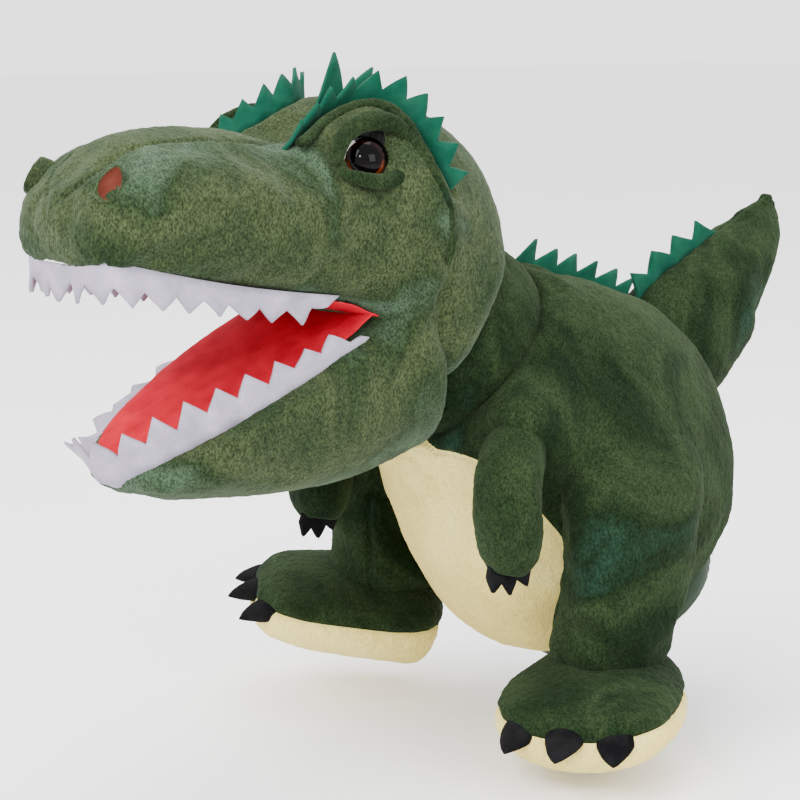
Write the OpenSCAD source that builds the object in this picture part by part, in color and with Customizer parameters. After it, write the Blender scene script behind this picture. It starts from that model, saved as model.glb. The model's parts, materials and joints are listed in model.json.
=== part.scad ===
// Dinosaur moving mouth hand puppet in plush, sewn from panels and stuffed round a glove sleeve.
// The origin is the centre of the hand opening. The nose points along -Y, the puppet's left is +X, up is +Z.

/* [Mouth] */
// Height of the jaw hinge line above the hand opening
hinge_z = 134; // [130:1:138]
// Distance of the jaw hinge line in front of the hand opening
hinge_front = 159; // [155:1:163]
// Upward tilt of the upper jaw, in degrees
snout_tilt = 11; // [8:1:14]
// Downward tilt of the lower jaw at rest, in degrees
jaw_tilt = 27; // [25:1:30]
// Thickness of each stiff board in the mouth
board_t = 1.5; // [1:0.5:2]
// Height of an upper felt tooth
upper_tooth_h = 12; // [9:1:14]
// Height of a lower felt tooth
lower_tooth_h = 17; // [12:1:19]
// Spacing of the felt teeth along the lip
tooth_pitch = 12.5; // [10:0.5:16]

/* [Hand opening] */
// Inner radius of the hand opening
opening_r = 41; // [40:0.5:41.5]
// Length of the bound hem round the opening
hem_len = 12; // [10:1:14]
// Angle of the opening's axis below the horizontal, in degrees
opening_tilt = 55; // [53:1:57]

/* [Fabric] */
// Thickness of the short-pile plush with its backing
plush_t = 2.5; // [2:0.25:3]
// Thickness of the craft felt of the spikes, teeth and claws
felt_t = 2; // [1.5:0.25:2.5]
// Thickness of the lining cloth
lining_t = 1; // [0.8:0.1:1.2]

/* [Neck] */
// Radius of the neck sleeve, which is a ball zone
neck_r = 44; // [42:0.5:44]
// Height of the neck's turning centre
neck_z = 114; // [112:1:115]
// Distance of the neck's turning centre in front of the hand opening
neck_front = 96; // [95:1:98]

/* [Eyes and nose] */
// Diameter of the moulded eye
eye_d = 19; // [16:0.5:20]
// Diameter of the eye's stem
stem_d = 4; // [3:0.5:5]

/* [Legs and feet] */
// How far the right leg hangs forward of the left, in degrees
right_leg_swing = 7; // [0:1:8]
// How far the right leg hangs above the left
right_leg_lift = 6; // [0:1:6]
// Sideways roll of the right foot, in degrees
right_foot_roll = 16; // [0:1:16]
// Outward turn of each foot, in degrees
foot_splay = 30; // [20:1:32]
// Height of the ground face of the feet below the hand opening
foot_drop = 48; // [47:1:50]
// Length of a toe claw
toe_claw_len = 12; // [11:1:14]

/* [Hidden] */

// Colours of the cloth
plush_green = [0.20, 0.32, 0.16];
gusset_green = [0.27, 0.34, 0.17];
belly_cream = [0.89, 0.84, 0.68];
felt_green = [0.08, 0.45, 0.33];
felt_white = [0.92, 0.91, 0.95];
felt_black = [0.06, 0.06, 0.07];
mouth_red = [0.78, 0.08, 0.15];
fill_white = [0.95, 0.95, 0.93];
nostril_brown = [0.55, 0.25, 0.18];

gap = 0.4;
// Facets of cloth and filling don't line up, so filling stays this far inside its cloth.
fill_gap = 1.4;
neck = [0, -neck_front, neck_z];
hinge = [0, -hinge_front, hinge_z];

// ---- Curves and surfaces ----

// A smooth curve through the key rows: u runs from 0 to the last row's number.
function clamp_row(keys, i) = keys[max(0, min(len(keys) - 1, i))];
function blend4(a, b, c, d, t) =
    0.5 * (2 * b + (c - a) * t + (2 * a - 5 * b + 4 * c - d) * t * t + (3 * b - a - 3 * c + d) * t * t * t);
function curve(keys, u) =
    let (i = min(floor(u), len(keys) - 2))
    blend4(clamp_row(keys, i - 1), keys[i], keys[i + 1], clamp_row(keys, i + 2), u - i);
function smooth(keys, steps) = [for (i = [0:steps]) curve(keys, i * (len(keys) - 1) / steps)];

function unit(v) = v / norm(v);
function power(v, p) = sign(v) * pow(abs(v), p);

// A rounded section: row = [x, y, z, tilt, half width, reach up, reach down], where the section's up axis
// leans back from the vertical by tilt degrees. box holds the roundness of the upper and the lower half:
// 2 is an ellipse and more is boxier.
soft = [2.3, 2.3];
function section_point(row, a, inset = 0, box = soft) =
    let (c = power(cos(a), 2 / (sin(a) >= 0 ? box[0] : box[1])))
    let (s = power(sin(a), 2 / (sin(a) >= 0 ? box[0] : box[1])))
    let (reach = (s >= 0 ? row[5] : row[6]) - inset)
    [
        row[0] + (row[4] - inset) * c,
        row[1] + reach * s * sin(row[3]),
        row[2] + reach * s * cos(row[3])
    ];
function section(row, from, to, n, inset = 0, box = soft) =
    [for (k = [0:n]) section_point(row, from + (to - from) * k / n, inset, box)];
function full_section(row, n, inset = 0, box = soft) =
    [for (k = [0:n - 1]) section_point(row, 360 * k / n, inset, box)];

// Rings square to a path in space, each round or oval: radii holds [across, along the reference axis].
function path_dir(path, i) = unit(path[min(i + 1, len(path) - 1)] - path[max(i - 1, 0)]);
function path_ring(path, radii, i, n, axis) =
    let (t = path_dir(path, i))
    let (a = unit(cross(t, axis)))
    let (b = cross(t, a))
    [for (k = [0:n - 1]) path[i] + radii[i][0] * cos(360 * k / n) * a + radii[i][1] * sin(360 * k / n) * b];

// Triangles between two lines of n points, wound so that the first side faces out.
function strip(n, p, q, flip = false) =
    [for (k = [0:n - 2]) for (f = flip
        ? [[p + k, q + k + 1, p + k + 1], [p + k, q + k, q + k + 1]]
        : [[p + k, p + k + 1, q + k + 1], [p + k, q + k + 1, q + k]]) f];
function loop_strip(n, p, q, flip = false) =
    [for (k = [0:n - 1]) let (m = (k + 1) % n) for (f = flip
        ? [[p + k, q + m, p + m], [p + k, q + k, q + m]]
        : [[p + k, p + m, q + m], [p + k, q + m, q + k]]) f];
function flat(rows) = [for (row = rows) for (p = row) p];

// The faces here run anticlockwise seen from outside, and polyhedron() wants them the other way.
module closed_solid(points, faces) {
    polyhedron(points, [for (f = faces) [for (k = [len(f) - 1:-1:0]) f[k]]]);
}

// A closed solid through rings of points, with flat ends.
module skin_over(rings) {
    n = len(rings[0]);
    m = len(rings);
    closed_solid(flat(rings), concat(
        [for (i = [0:m - 2]) for (f = loop_strip(n, i * n, (i + 1) * n)) f],
        [[for (k = [n - 1:-1:0]) k], [for (k = [0:n - 1]) (m - 1) * n + k]]
    ));
}

// An open tube with a wall, between outer and inner rings.
module tube_between(outer, inner) {
    n = len(outer[0]);
    m = len(outer);
    closed_solid(flat(concat(outer, inner)), concat(
        [for (i = [0:m - 2]) for (f = loop_strip(n, i * n, (i + 1) * n)) f],
        [for (i = [0:m - 2]) for (f = loop_strip(n, (m + i) * n, (m + i + 1) * n, true)) f],
        loop_strip(n, 0, m * n, true),
        loop_strip(n, (m - 1) * n, (2 * m - 1) * n)
    ));
}

// A cup: a tube whose last end is closed by both skins.
module cup_between(outer, inner) {
    n = len(outer[0]);
    m = len(outer);
    closed_solid(flat(concat(outer, inner)), concat(
        [for (i = [0:m - 2]) for (f = loop_strip(n, i * n, (i + 1) * n)) f],
        [for (i = [0:m - 2]) for (f = loop_strip(n, (m + i) * n, (m + i + 1) * n, true)) f],
        loop_strip(n, 0, m * n, true),
        [[for (k = [0:n - 1]) (m - 1) * n + k], [for (k = [n - 1:-1:0]) (2 * m - 1) * n + k]]
    ));
}

// A cloth panel: the space between two grids of points that don't close on themselves.
module panel_between(outer, inner) {
    n = len(outer[0]);
    m = len(outer);
    side_a = [for (i = [0:m - 1]) i * n];
    closed_solid(flat(concat(outer, inner)), concat(
        [for (i = [0:m - 2]) for (f = strip(n, i * n, (i + 1) * n)) f],
        [for (i = [0:m - 2]) for (f = strip(n, (m + i) * n, (m + i + 1) * n, true)) f],
        strip(n, 0, m * n, true),
        strip(n, (m - 1) * n, (2 * m - 1) * n),
        [for (i = [0:m - 2]) for (f = [
            [side_a[i], side_a[i + 1], side_a[i + 1] + m * n],
            [side_a[i], side_a[i + 1] + m * n, side_a[i] + m * n],
            [side_a[i] + n - 1, side_a[i + 1] + m * n + n - 1, side_a[i + 1] + n - 1],
            [side_a[i] + n - 1, side_a[i] + m * n + n - 1, side_a[i + 1] + m * n + n - 1]
        ]) f]
    ));
}

// The point at distance d along a line of points.
function length_of(path, i = 0) = i >= len(path) - 1 ? 0 : norm(path[i + 1] - path[i]) + length_of(path, i + 1);
function along(path, d, i = 0) =
    let (step = norm(path[i + 1] - path[i]))
    d <= step || i >= len(path) - 2
        ? path[i] + (path[i + 1] - path[i]) * d / step
        : along(path, d - step, i + 1);
function evenly(path, n) = let (l = length_of(path)) [for (i = [0:n]) along(path, l * i / n)];

// A felt strip cut in points: base runs along its sewn edge and out is the way each point stands.
// Odd places are tips of the given heights, and the places between them are only low.
module felt_points(base, out, low, high) {
    m = len(base);
    face = [for (i = [0:m - 1]) [base[i], base[i] + out[i] * (i % 2 == 0 ? low : high[i])]];
    side = [for (i = [0:m - 1]) unit(cross(out[i], path_dir(base, i)))];
    panel_between(face, [for (i = [0:m - 1]) [for (p = face[i]) p - side[i] * felt_t]]);
}

// A solid along a path in space.
module sausage(path, radii, n = 12, axis = [1, 0, 0]) {
    skin_over([for (i = [0:len(path) - 1]) path_ring(path, radii, i, n, axis)]);
}

// A cover along a path in space, open at its first end.
module sausage_cover(path, radii, n = 12, axis = [1, 0, 0]) {
    thin = [for (r = radii) [for (v = r) max(v - plush_t, 0.6)]];
    pulled = [for (i = [0:len(path) - 1]) i == len(path) - 1 ? path[i] - path_dir(path, i) * plush_t : path[i]];
    cup_between(
        [for (i = [0:len(path) - 1]) path_ring(path, radii, i, n, axis)],
        [for (i = [0:len(path) - 1]) path_ring(pulled, thin, i, n, axis)]
    );
}

// ---- Torso ----

opening_dir = [0, cos(opening_tilt), -sin(opening_tilt)];
torso_start = -opening_dir * (hem_len / 2 + gap);
torso_keys = [
    [0, torso_start[1], torso_start[2], opening_tilt, 44.5, 44.5, 44.5],
    [0, -8, 12, 61, 52, 54, 60],
    [0, -16, 24, 60, 58, 66, 65],
    [0, -32, 45, 55, 61, 80, 66],
    [0, -50, 72, 50, 62, 74, 63],
    [0, -70, 92, 46, 60, 60, 52],
    [0, -82, 102, 43, 54, 50.5, 47.5],
    [0, -88, 107, 41, 49, 48, 46.5]
];
torso_rows = smooth(torso_keys, 14);
belly_half = 57;
seam_gap = 0.3;

module torso_cloth(from, to, n) {
    panel_between(
        [for (row = torso_rows) section(row, from, to, n)],
        [for (row = torso_rows) section(row, from, to, n, plush_t)]
    );
}
module torso_left_panel() color(plush_green) torso_cloth(belly_half - 90 + seam_gap, 90 - seam_gap, 7);
module torso_right_panel() color(plush_green) torso_cloth(90 + seam_gap, 270 - belly_half - seam_gap, 7);
module belly_panel() color(belly_cream) torso_cloth(-90 - belly_half + seam_gap, belly_half - 90 - seam_gap, 7);

// The sleeve that the hand wears runs from the hem to the neck.
function sleeve_ring(row, r) =
    full_section([row[0], row[1], row[2], row[3], r, r, r], 20, 0, [2, 2]);
sleeve_r = opening_r + 2;
sleeve_rows = [for (i = [0:12]) torso_rows[i]];
module sleeve_lining() color(fill_white) tube_between(
    [for (row = sleeve_rows) sleeve_ring(row, sleeve_r - gap)],
    [for (row = sleeve_rows) sleeve_ring(row, sleeve_r - gap - lining_t)]
);
module body_stuffing() color(fill_white) {
    rows = [for (i = [2:12]) torso_rows[i]];
    tube_between(
        [for (row = rows) full_section(row, 20, plush_t + fill_gap)],
        [for (row = rows) sleeve_ring(row, sleeve_r)]
    );
}

// Local +Z runs out of the hand opening, and local -Y is the rump side.
module at_opening() rotate([270 - opening_tilt, 0, 0]) children();

module hem_band() color(plush_green) at_opening() difference() {
    cylinder(r = opening_r + 3.5, h = hem_len, center = true, $fn = 96);
    cylinder(r = opening_r, h = hem_len + 2, center = true, $fn = 96);
}
module care_label() color(felt_white) at_opening()
    translate([-8, -opening_r - 2.2, hem_len / 2]) cube([16, 0.8, 22]);

// Spikes along the back, from the neck to the root of the tail
back_spike_h = 13;
module back_spikes() color(felt_green) {
    ridge = [for (i = [13:-1:8]) section_point(torso_rows[i], 90, -gap)];
    inner = [for (i = [13:-1:8]) section_point(torso_rows[i], 90, 10)];
    count = 6;
    base = evenly(ridge, 2 * count);
    low = evenly(inner, 2 * count);
    felt_points(
        [for (p = base) p + [felt_t / 2, 0, 0]],
        [for (i = [0:2 * count]) unit(base[i] - low[i])],
        3,
        [for (i = [0:2 * count]) back_spike_h]
    );
}

// ---- Neck ----

neck_zone = 27;
module neck_sleeve() color(plush_green) translate(neck) rotate([48, 0, 0]) rotate_extrude($fn = 96)
    intersection() {
        difference() {
            circle(r = neck_r, $fn = 96);
            circle(r = neck_r - plush_t, $fn = 96);
        }
        translate([0, -neck_zone]) square([neck_r + 1, 2 * neck_zone]);
    }

// ---- Head ----

// A row beside the mouth: key = [distance in front of the hinge, height over the mouth line, extra tilt,
// half width, reach up, reach down], and lean is the tilt of the mouth line.
function mouth_row(key, lean) = [
    0,
    hinge[1] - key[0] * cos(lean) + key[1] * sin(lean),
    hinge[2] + key[0] * sin(lean) + key[1] * cos(lean),
    lean + key[2], key[3], key[4], key[5]
];
head_keys = [
    [-44, 14, 19, 50, 38, 45],
    [-30, 24, 17, 51.5, 46, 50],
    [-14, 29, 12, 52, 51, 40],
    [5, 29, 6, 50, 52.5, 30],
    [22, 28, 2, 47, 44, 28],
    [40, 26, 0, 45, 33, 26],
    [60, 24, 0, 43, 33, 24],
    [80, 22, 0, 42, 32, 22],
    [100, 20, 0, 39, 28, 20],
    [113, 18, 0, 34, 21, 18],
    [120.5, 17, 0, 26, 14, 15],
    [124, 17, 0, 13, 8, 7]
];
head_box = [2.3, 3.5];
lip_angle = 48;
function head_row(i) = mouth_row(curve(head_keys, i), snout_tilt);
head_last = len(head_keys) - 1;

// Behind the hinge the cloth stops short of the jaw, and in front of it at the lip.
cheek_clear = 1.15;
function cheek_angle(key) =
    let (limit = key[0] < 0 ? key[0] / cheek_clear : 0)
    let (fall = min(0.97, max(0, (key[1] - limit) / key[5])))
    key[0] >= 0 ? -lip_angle : -min(lip_angle + 20, asin(pow(fall, head_box[1] / 2)));
head_stations = [for (i = [0:0.6:head_last - 0.01]) i];
head_all = concat(head_stations, [head_last]);
gusset_angle = 66;

module head_cloth(side_from, side_to, stations, n) {
    panel_between(
        [for (i = stations) section(head_row(i), side_from(i), side_to(i), n, 0, head_box)],
        [for (i = stations) section(head_row(i), side_from(i), side_to(i), n, plush_t, head_box)]
    );
}
function gusset_edge(i) = i < 4 ? 90 - seam_gap : 90 - (90 - gusset_angle) * min(1, (i - 4) / 1.5);
module head_left_panel() color(plush_green)
    head_cloth(function(i) cheek_angle(curve(head_keys, i)), function(i) gusset_edge(i) - seam_gap, head_all, 8);
module head_right_panel() color(plush_green)
    head_cloth(
        function(i) 180 - gusset_edge(i) + seam_gap,
        function(i) 180 - cheek_angle(curve(head_keys, i)), head_all, 8
    );
gusset_stations = [for (i = [4.2:0.85:head_last]) i];
module snout_gusset() color(gusset_green)
    head_cloth(function(i) gusset_edge(i), function(i) 180 - gusset_edge(i), concat(gusset_stations, [head_last]), 4);

// A pocket is a closed-ended sleeve, drawn from rows like the mouth's. Its keys give the outer size.
pocket_box = [2.6, 2.6];
module pocket(keys, lean) {
    rows = smooth([for (k = keys) mouth_row(k, lean)], 8);
    inner = smooth([for (k = keys) mouth_row([k[0] - lining_t, k[1], 0, k[3], k[4], k[5]], lean)], 8);
    open_end = rows[0];
    cup_between(
        [for (row = rows) full_section(row, 20, 0, pocket_box)],
        [for (i = [0:8]) full_section(i == 0 ? open_end : inner[i], 20, lining_t, pocket_box)]
    );
}
// Stuffing wraps a pocket: both stay open at the back.
module stuffing_round(rows, keys, lean, box) {
    hole = smooth([for (k = keys) mouth_row(k, lean)], 8);
    cup_between(
        [for (row = rows) full_section(row, 20, plush_t + fill_gap, box)],
        [for (row = hole) full_section(row, 20, -gap, pocket_box)]
    );
}
finger_keys = [[6, 20, 0, 34, 13, 13], [35, 20, 0, 33, 13, 13], [65, 19, 0, 31, 12, 12], [88, 18, 0, 22, 8, 8]];
module finger_pocket() color(fill_white) pocket(finger_keys, snout_tilt);
module snout_stuffing() color(fill_white)
    stuffing_round([for (i = [0:8]) head_row(3.05 + i * 0.95)], finger_keys, snout_tilt, head_box);

// The crown's stuffing arches over the neck sleeve and over the hand's way into the pocket.
hand_way = [36, 28];
function over_neck(row) =
    let (up = [0, sin(row[3]), cos(row[3])])
    let (ahead = [0, -cos(row[3]), sin(row[3])])
    let (to_neck = neck - [row[0], row[1], row[2]])
    let (reach = sqrt(max(0, pow(neck_r + 1, 2) - pow(to_neck * ahead, 2))))
    let (foot = [row[0], row[1], row[2]] + up * max(to_neck * up, -14))
    [for (k = [0:12]) let (b = 15 * k)
        foot + [cos(b) * max(reach, hand_way[0]), 0, 0] + up * sin(b) * max(reach, hand_way[1])];
module crown_stuffing() color(fill_white) {
    rows = [for (i = [0.1, 0.7, 1.3, 1.9, 2.4]) head_row(i)];
    panel_between(
        [for (row = rows) section(row, 0, 180, 12, plush_t + fill_gap, head_box)],
        [for (row = rows) over_neck(row)]
    );
}

// Flat sheets of the mouth are drawn in plan, with +Y along the jaw from the hinge and +Z away from the tongue.
module in_mouth(lean) translate(hinge) rotate([-lean, 0, 0]) rotate([0, 0, 180]) children();
function lip_side(keys, from, inset) =
    [for (i = [from:0.25:len(keys) - 1]) let (k = curve(keys, i))
        [(k[3] - inset) * power(cos(lip_angle), 2 / head_box[1]), k[0] - inset * i / len(keys)]];
function mouth_plan(keys, from, inset) =
    let (half = lip_side(keys, from, inset))
    concat(half, [for (i = [len(half) - 1:-1:0]) [-half[i][0], half[i][1]]]);
module mouth_sheet(keys, from, lean, inset, low, t)
    in_mouth(lean) translate([0, 0, low]) linear_extrude(t) polygon(mouth_plan(keys, from, inset));

module upper_mouth_lining() color(mouth_red) mouth_sheet(head_keys, 3.25, snout_tilt, 4, 0.3, lining_t);
module upper_mouth_board() color(felt_white) mouth_sheet(head_keys, 3.35, snout_tilt, 7, 0.3 + lining_t, board_t);

// Teeth stand along a lip, from one corner of the mouth round the front to the other.
function lip_line(rows, angle, drop, up) =
    let (side = [for (row = rows) section_point(row, angle, 0.8, up > 0 ? jaw_box : head_box)])
    let (half = [for (p = side) p + drop])
    concat(half, [for (i = [len(half) - 1:-1:0]) [-half[i][0], half[i][1], half[i][2]]]);
module teeth(rows, angle, lean, up, height, low, flare) {
    stand = up * [0, sin(lean), cos(lean)];
    line = lip_line(rows, angle, stand * 1.6, up);
    count = round(length_of(line) / tooth_pitch);
    base = evenly(line, 2 * count);
    felt_points(
        base,
        [for (p = base) unit(stand + flare * unit([p[0], p[1] - line[0][1], 0]))],
        low,
        [for (i = [0:2 * count]) height * min(1, 0.62 + 0.9 * min(i, 2 * count - i) / count)]
    );
}
module upper_teeth() color(felt_white)
    teeth([for (i = [3.4:0.4:head_last]) head_row(i)], -lip_angle, snout_tilt, -1, upper_tooth_h, 6, 0.12);

// Brow rolls hug the head: each place is [place along the head, angle round it].
brow_r = 5.5;
brow_places = [[5.1, 54], [4.35, 62], [3.65, 62], [3.2, 53], [2.95, 36], [2.65, 23], [2.35, 14]];
brow_line = smooth([for (b = brow_places) section_point(head_row(b[0]), b[1], -brow_r - gap - 1.5, head_box)], 12);
module brow_left() color(plush_green)
    sausage(brow_line, [for (i = [0:12]) let (r = brow_r * (0.45 + 0.55 * sin(15 + 150 * i / 12))) [r, r]]);
module brow_right() mirror([1, 0, 0]) brow_left();

// The spikes of a brow stand behind its roll, on the crown side.
brow_spike_h = 16;
spike_places = [[5.1, 67], [4.35, 76], [3.6, 77], [2.9, 70], [2.45, 50], [2.1, 33], [1.85, 20]];
module brow_spikes_left() color(felt_green) {
    low = smooth([for (b = spike_places) section_point(head_row(b[0]), b[1], -gap, head_box)], 24);
    high = smooth([for (b = spike_places) section_point(head_row(b[0]), b[1], -10, head_box)], 24);
    count = 8;
    base = evenly([for (p = low) p], 2 * count);
    top = evenly([for (p = high) p], 2 * count);
    felt_points(
        [for (i = [0:2 * count]) base[i] + 3 * unit(top[i] - base[i])],
        [for (i = [0:2 * count]) unit(top[i] - base[i])],
        5,
        [for (i = [0:2 * count]) brow_spike_h - 3]
    );
}
module brow_spikes_right() mirror([1, 0, 0]) brow_spikes_left();

// The two big spikes of the crown
module crown_spikes() color(felt_green) {
    places = [for (i = [0:4]) 3.75 - 0.29 * i];
    base = [for (i = places) section_point(head_row(i), 90, -gap, head_box)];
    inner = [for (i = places) section_point(head_row(i), 90, 10, head_box)];
    felt_points(
        [for (p = base) p + [felt_t / 2, 0, 0]],
        [for (i = [0:4]) unit(base[i] - inner[i])], 5, [0, 20, 0, 16, 0]
    );
}

// What sits square on the head's cloth at a place along it and an angle round it
module on_head(place, angle, lift) {
    p = section_point(head_row(place), angle, 0, head_box);
    ahead = section_point(head_row(place + 0.1), angle, 0, head_box) - p;
    round = section_point(head_row(place), angle + 4, 0, head_box) - p;
    out = unit(cross(round, ahead));
    translate(p + lift * out) rotate([0, acos(out[2]), atan2(out[1], out[0])]) children();
}
eye_place = [3.85, 32];
stem_l = 16;
module eye_left() color([0.35, 0.15, 0.05]) on_head(eye_place[0], eye_place[1], 3.4) {
    rotate_extrude($fn = 64) difference() {
        translate([0, -3.5]) circle(d = eye_d, $fn = 64);
        translate([-eye_d, -eye_d]) square([eye_d, 2 * eye_d]);
        translate([-1, -eye_d]) square([eye_d, eye_d]);
    }
    translate([0, 0, -stem_l]) cylinder(d = stem_d, h = stem_l + 0.1, $fn = 32);
}
module eye_right() mirror([1, 0, 0]) eye_left();
module eye_patch_left() color(felt_black) on_head(eye_place[0], eye_place[1], 3.2)
    rotate([180, 0, 0]) cylinder(r = eye_d / 2 + 3, h = 1.2, $fn = 64);
module eye_patch_right() mirror([1, 0, 0]) eye_patch_left();
module eye_washer() on_head(eye_place[0], eye_place[1], -plush_t - 2) rotate([180, 0, 0]) difference() {
    cylinder(r = 7.5, h = 2, $fn = 48);
    translate([0, 0, -1]) cylinder(d = stem_d, h = 4, $fn = 32);
}
module eye_washers() color(felt_white) {
    eye_washer();
    mirror([1, 0, 0]) eye_washer();
}

// Nostrils: a rolled plush rim, standing on the snout and facing outward, round a lining disc
nostril_place = [9.3, 42];
nostril_r = 4.6;
module nostril_left() color(gusset_green) on_head(nostril_place[0], nostril_place[1], 3)
    rotate_extrude($fn = 48) translate([nostril_r, 0]) circle(r = 1.8, $fn = 32);
module nostril_right() mirror([1, 0, 0]) nostril_left();
module nostril_lining() on_head(nostril_place[0], nostril_place[1], 2.4)
    cylinder(r = nostril_r - 1.9, h = 1.2, $fn = 48);
module nostril_linings() color(nostril_brown) {
    nostril_lining();
    mirror([1, 0, 0]) nostril_lining();
}

// ---- Jaw ----

jaw_box = [3.5, 2.2];
jaw_keys = [
    [2, -20, 0, 48, 20, 46],
    [20, -19, 0, 48.5, 19, 44],
    [38, -17, 0, 48, 17, 40],
    [60, -15, 0, 45, 15, 31],
    [79, -14, 0, 39, 13, 22],
    [95, -13, 0, 30, 10, 14],
    [106, -13, 0, 19, 6, 8],
    [111, -13, 0, 9, 3, 4]
];
function jaw_row(i) = mouth_row(curve(jaw_keys, i), -jaw_tilt);
jaw_last = len(jaw_keys) - 1;
jaw_all = [for (i = [0:0.5:jaw_last]) jaw_row(i)];
module jaw_cover() color(plush_green) panel_between(
    [for (row = jaw_all) section(row, -180 - lip_angle, lip_angle, 16, 0, jaw_box)],
    [for (row = jaw_all) section(row, -180 - lip_angle, lip_angle, 16, plush_t, jaw_box)]
);
thumb_keys = [[3, -24, 0, 22, 13, 13], [25, -22, 0, 21, 12, 12], [50, -20, 0, 19, 10, 10], [72, -18, 0, 12, 6, 6]];
module thumb_pocket() color(fill_white) pocket(thumb_keys, -jaw_tilt);
module jaw_stuffing() color(fill_white)
    stuffing_round([for (i = [0:8]) jaw_row(0.1 + i * 0.8)], thumb_keys, -jaw_tilt, jaw_box);
lining_low = -0.6;
module lower_mouth_lining() color(mouth_red) mouth_sheet(jaw_keys, 0.4, -jaw_tilt, 4, lining_low, lining_t);
module lower_mouth_board() color(felt_white)
    mouth_sheet(jaw_keys, 0.5, -jaw_tilt, 7, lining_low - board_t, board_t);
module lower_teeth() color(felt_white)
    teeth([for (i = [0.5:0.35:jaw_last]) jaw_row(i)], lip_angle, -jaw_tilt, 1, lower_tooth_h, 10, 0.02);

// ---- Arms ----

arm_path = [
    [61, -118, 90], [61.5, -116, 86], [62, -115, 74], [62, -114, 60], [62, -112, 47], [62, -111, 38], [62, -111, 34]
];
arm_radii = [[7, 7], [11, 11], [13.5, 13.5], [13.5, 13.5], [12.5, 12.5], [10, 10], [5, 5]];
module arm_left() color(plush_green) sausage_cover(arm_path, arm_radii);
module arm_right() mirror([1, 0, 0]) arm_left();
module arm_stuffing_left() color(fill_white) sausage(
    [for (i = [1:5]) arm_path[i]],
    [for (i = [1:5]) [for (r = arm_radii[i]) r - plush_t - gap]]
);
module arm_stuffing_right() mirror([1, 0, 0]) arm_stuffing_left();
module arm_claws_left() color(felt_black) {
    base = [for (i = [0:6]) [63, -120 + 3 * i, 32.5 - 0.12 * pow(i - 3, 2)]];
    felt_points(base, [for (i = [0:6]) unit([0.05, (i - 3) * 0.12, -1])], 2.5, [for (i = [0:6]) 8]);
}
module arm_claws_right() mirror([1, 0, 0]) arm_claws_left();

// ---- Legs and feet ----

// Rows run up from the ankle: the reach up is towards the tail, and the reach down towards the belly.
leg_rows = smooth([
    [66.5, -65, -4, 90, 21, 25, 23],
    [68, -64, 2, 90, 21, 26, 24],
    [71.5, -61, 14, 90, 17.5, 30, 28],
    [74, -57, 31, 90, 14.5, 32, 31],
    [76, -53, 48, 90, 12.6, 33, 32],
    [76, -49, 64, 90, 11.8, 30, 29],
    [75.8, -46, 76, 90, 9, 20, 20],
    [75.5, -45, 80, 90, 5, 12, 12]
], 10);
module leg_left() color(plush_green) cup_between(
    [for (row = leg_rows) full_section(row, 14)],
    [for (i = [0:10]) full_section(i == 10 ? leg_rows[i] - [0, 0, plush_t, 0, 0, 0, 0] : leg_rows[i], 14, plush_t)]
);
// The right leg hangs a little further forward than the left, higher and clear of the body.
hip = [0, -48, 58];
leg_out = 2.5;
module right_leg()
    translate(hip + [-leg_out, 0, right_leg_lift]) rotate([-right_leg_swing, 0, 0]) translate(-hip)
    mirror([1, 0, 0]) children();
module leg_right() right_leg() leg_left();
module leg_stuffing_left() color(fill_white)
    skin_over([for (i = [0.5:8.5]) full_section(curve(leg_rows, i), 14, plush_t + 1.5 * fill_gap)]);
module leg_stuffing_right() right_leg() leg_stuffing_left();

// A foot is drawn with its ankle over the origin and its toes along -Y.
ankle = [66.5, -66];
foot_mid = -foot_drop + 19;
foot_rows = smooth([
    [0, 27, foot_mid, 0, 11, 9, 11],
    [0, 21, foot_mid, 0, 23, 14, 18],
    [0, 6, foot_mid, 0, 31, 17, 19],
    [0, -14, foot_mid, 0, 35, 15.5, 19],
    [0, -32, foot_mid - 1, 0, 34.5, 13, 18],
    [0, -45, foot_mid - 2, 0, 28, 9.5, 16],
    [0, -52, foot_mid - 4, 0, 15, 6, 9]
], 9);
module left_foot() translate([ankle[0], ankle[1], 0]) rotate([0, 0, foot_splay]) children();
module foot_cloth(from, to) panel_between(
    [for (row = foot_rows) section(row, from, to, 9)],
    [for (row = foot_rows) section(row, from, to, 9, plush_t)]
);
module foot_top_left() color(plush_green) left_foot() foot_cloth(-12 + seam_gap, 192 - seam_gap);
ankle_height = -8.5;
module right_foot()
    right_leg() translate([ankle[0], ankle[1], ankle_height]) rotate([0, -right_foot_roll, 0])
    translate([-ankle[0], -ankle[1], -ankle_height]) children();
module foot_top_right() right_foot() foot_top_left();
module foot_sole_left() color(belly_cream) left_foot() foot_cloth(-168 + seam_gap, -12 - seam_gap);
module foot_sole_right() right_foot() foot_sole_left();
module foot_stuffing_left() color(fill_white) left_foot()
    skin_over([for (i = [1:8]) full_section(foot_rows[i], 14, plush_t + fill_gap)]);
module foot_stuffing_right() right_foot() foot_stuffing_left();
claw_r = 6.5;
module toe_claw() rotate([90, 0, 0]) rotate_extrude($fn = 48) difference() {
    union() {
        square([claw_r, toe_claw_len - claw_r]);
        translate([0, toe_claw_len - claw_r]) circle(r = claw_r, $fn = 48);
    }
    translate([-2 * claw_r, -claw_r]) square([2 * claw_r, 2 * toe_claw_len]);
}
module foot_claws_left() color(felt_black) left_foot() for (i = [-1:1])
    translate([20 * i, -53.5 + abs(i), foot_mid - 5]) rotate([8, 0, 14 * i]) toe_claw();
module foot_claws_right() right_foot() foot_claws_left();

// ---- Tail ----

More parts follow.
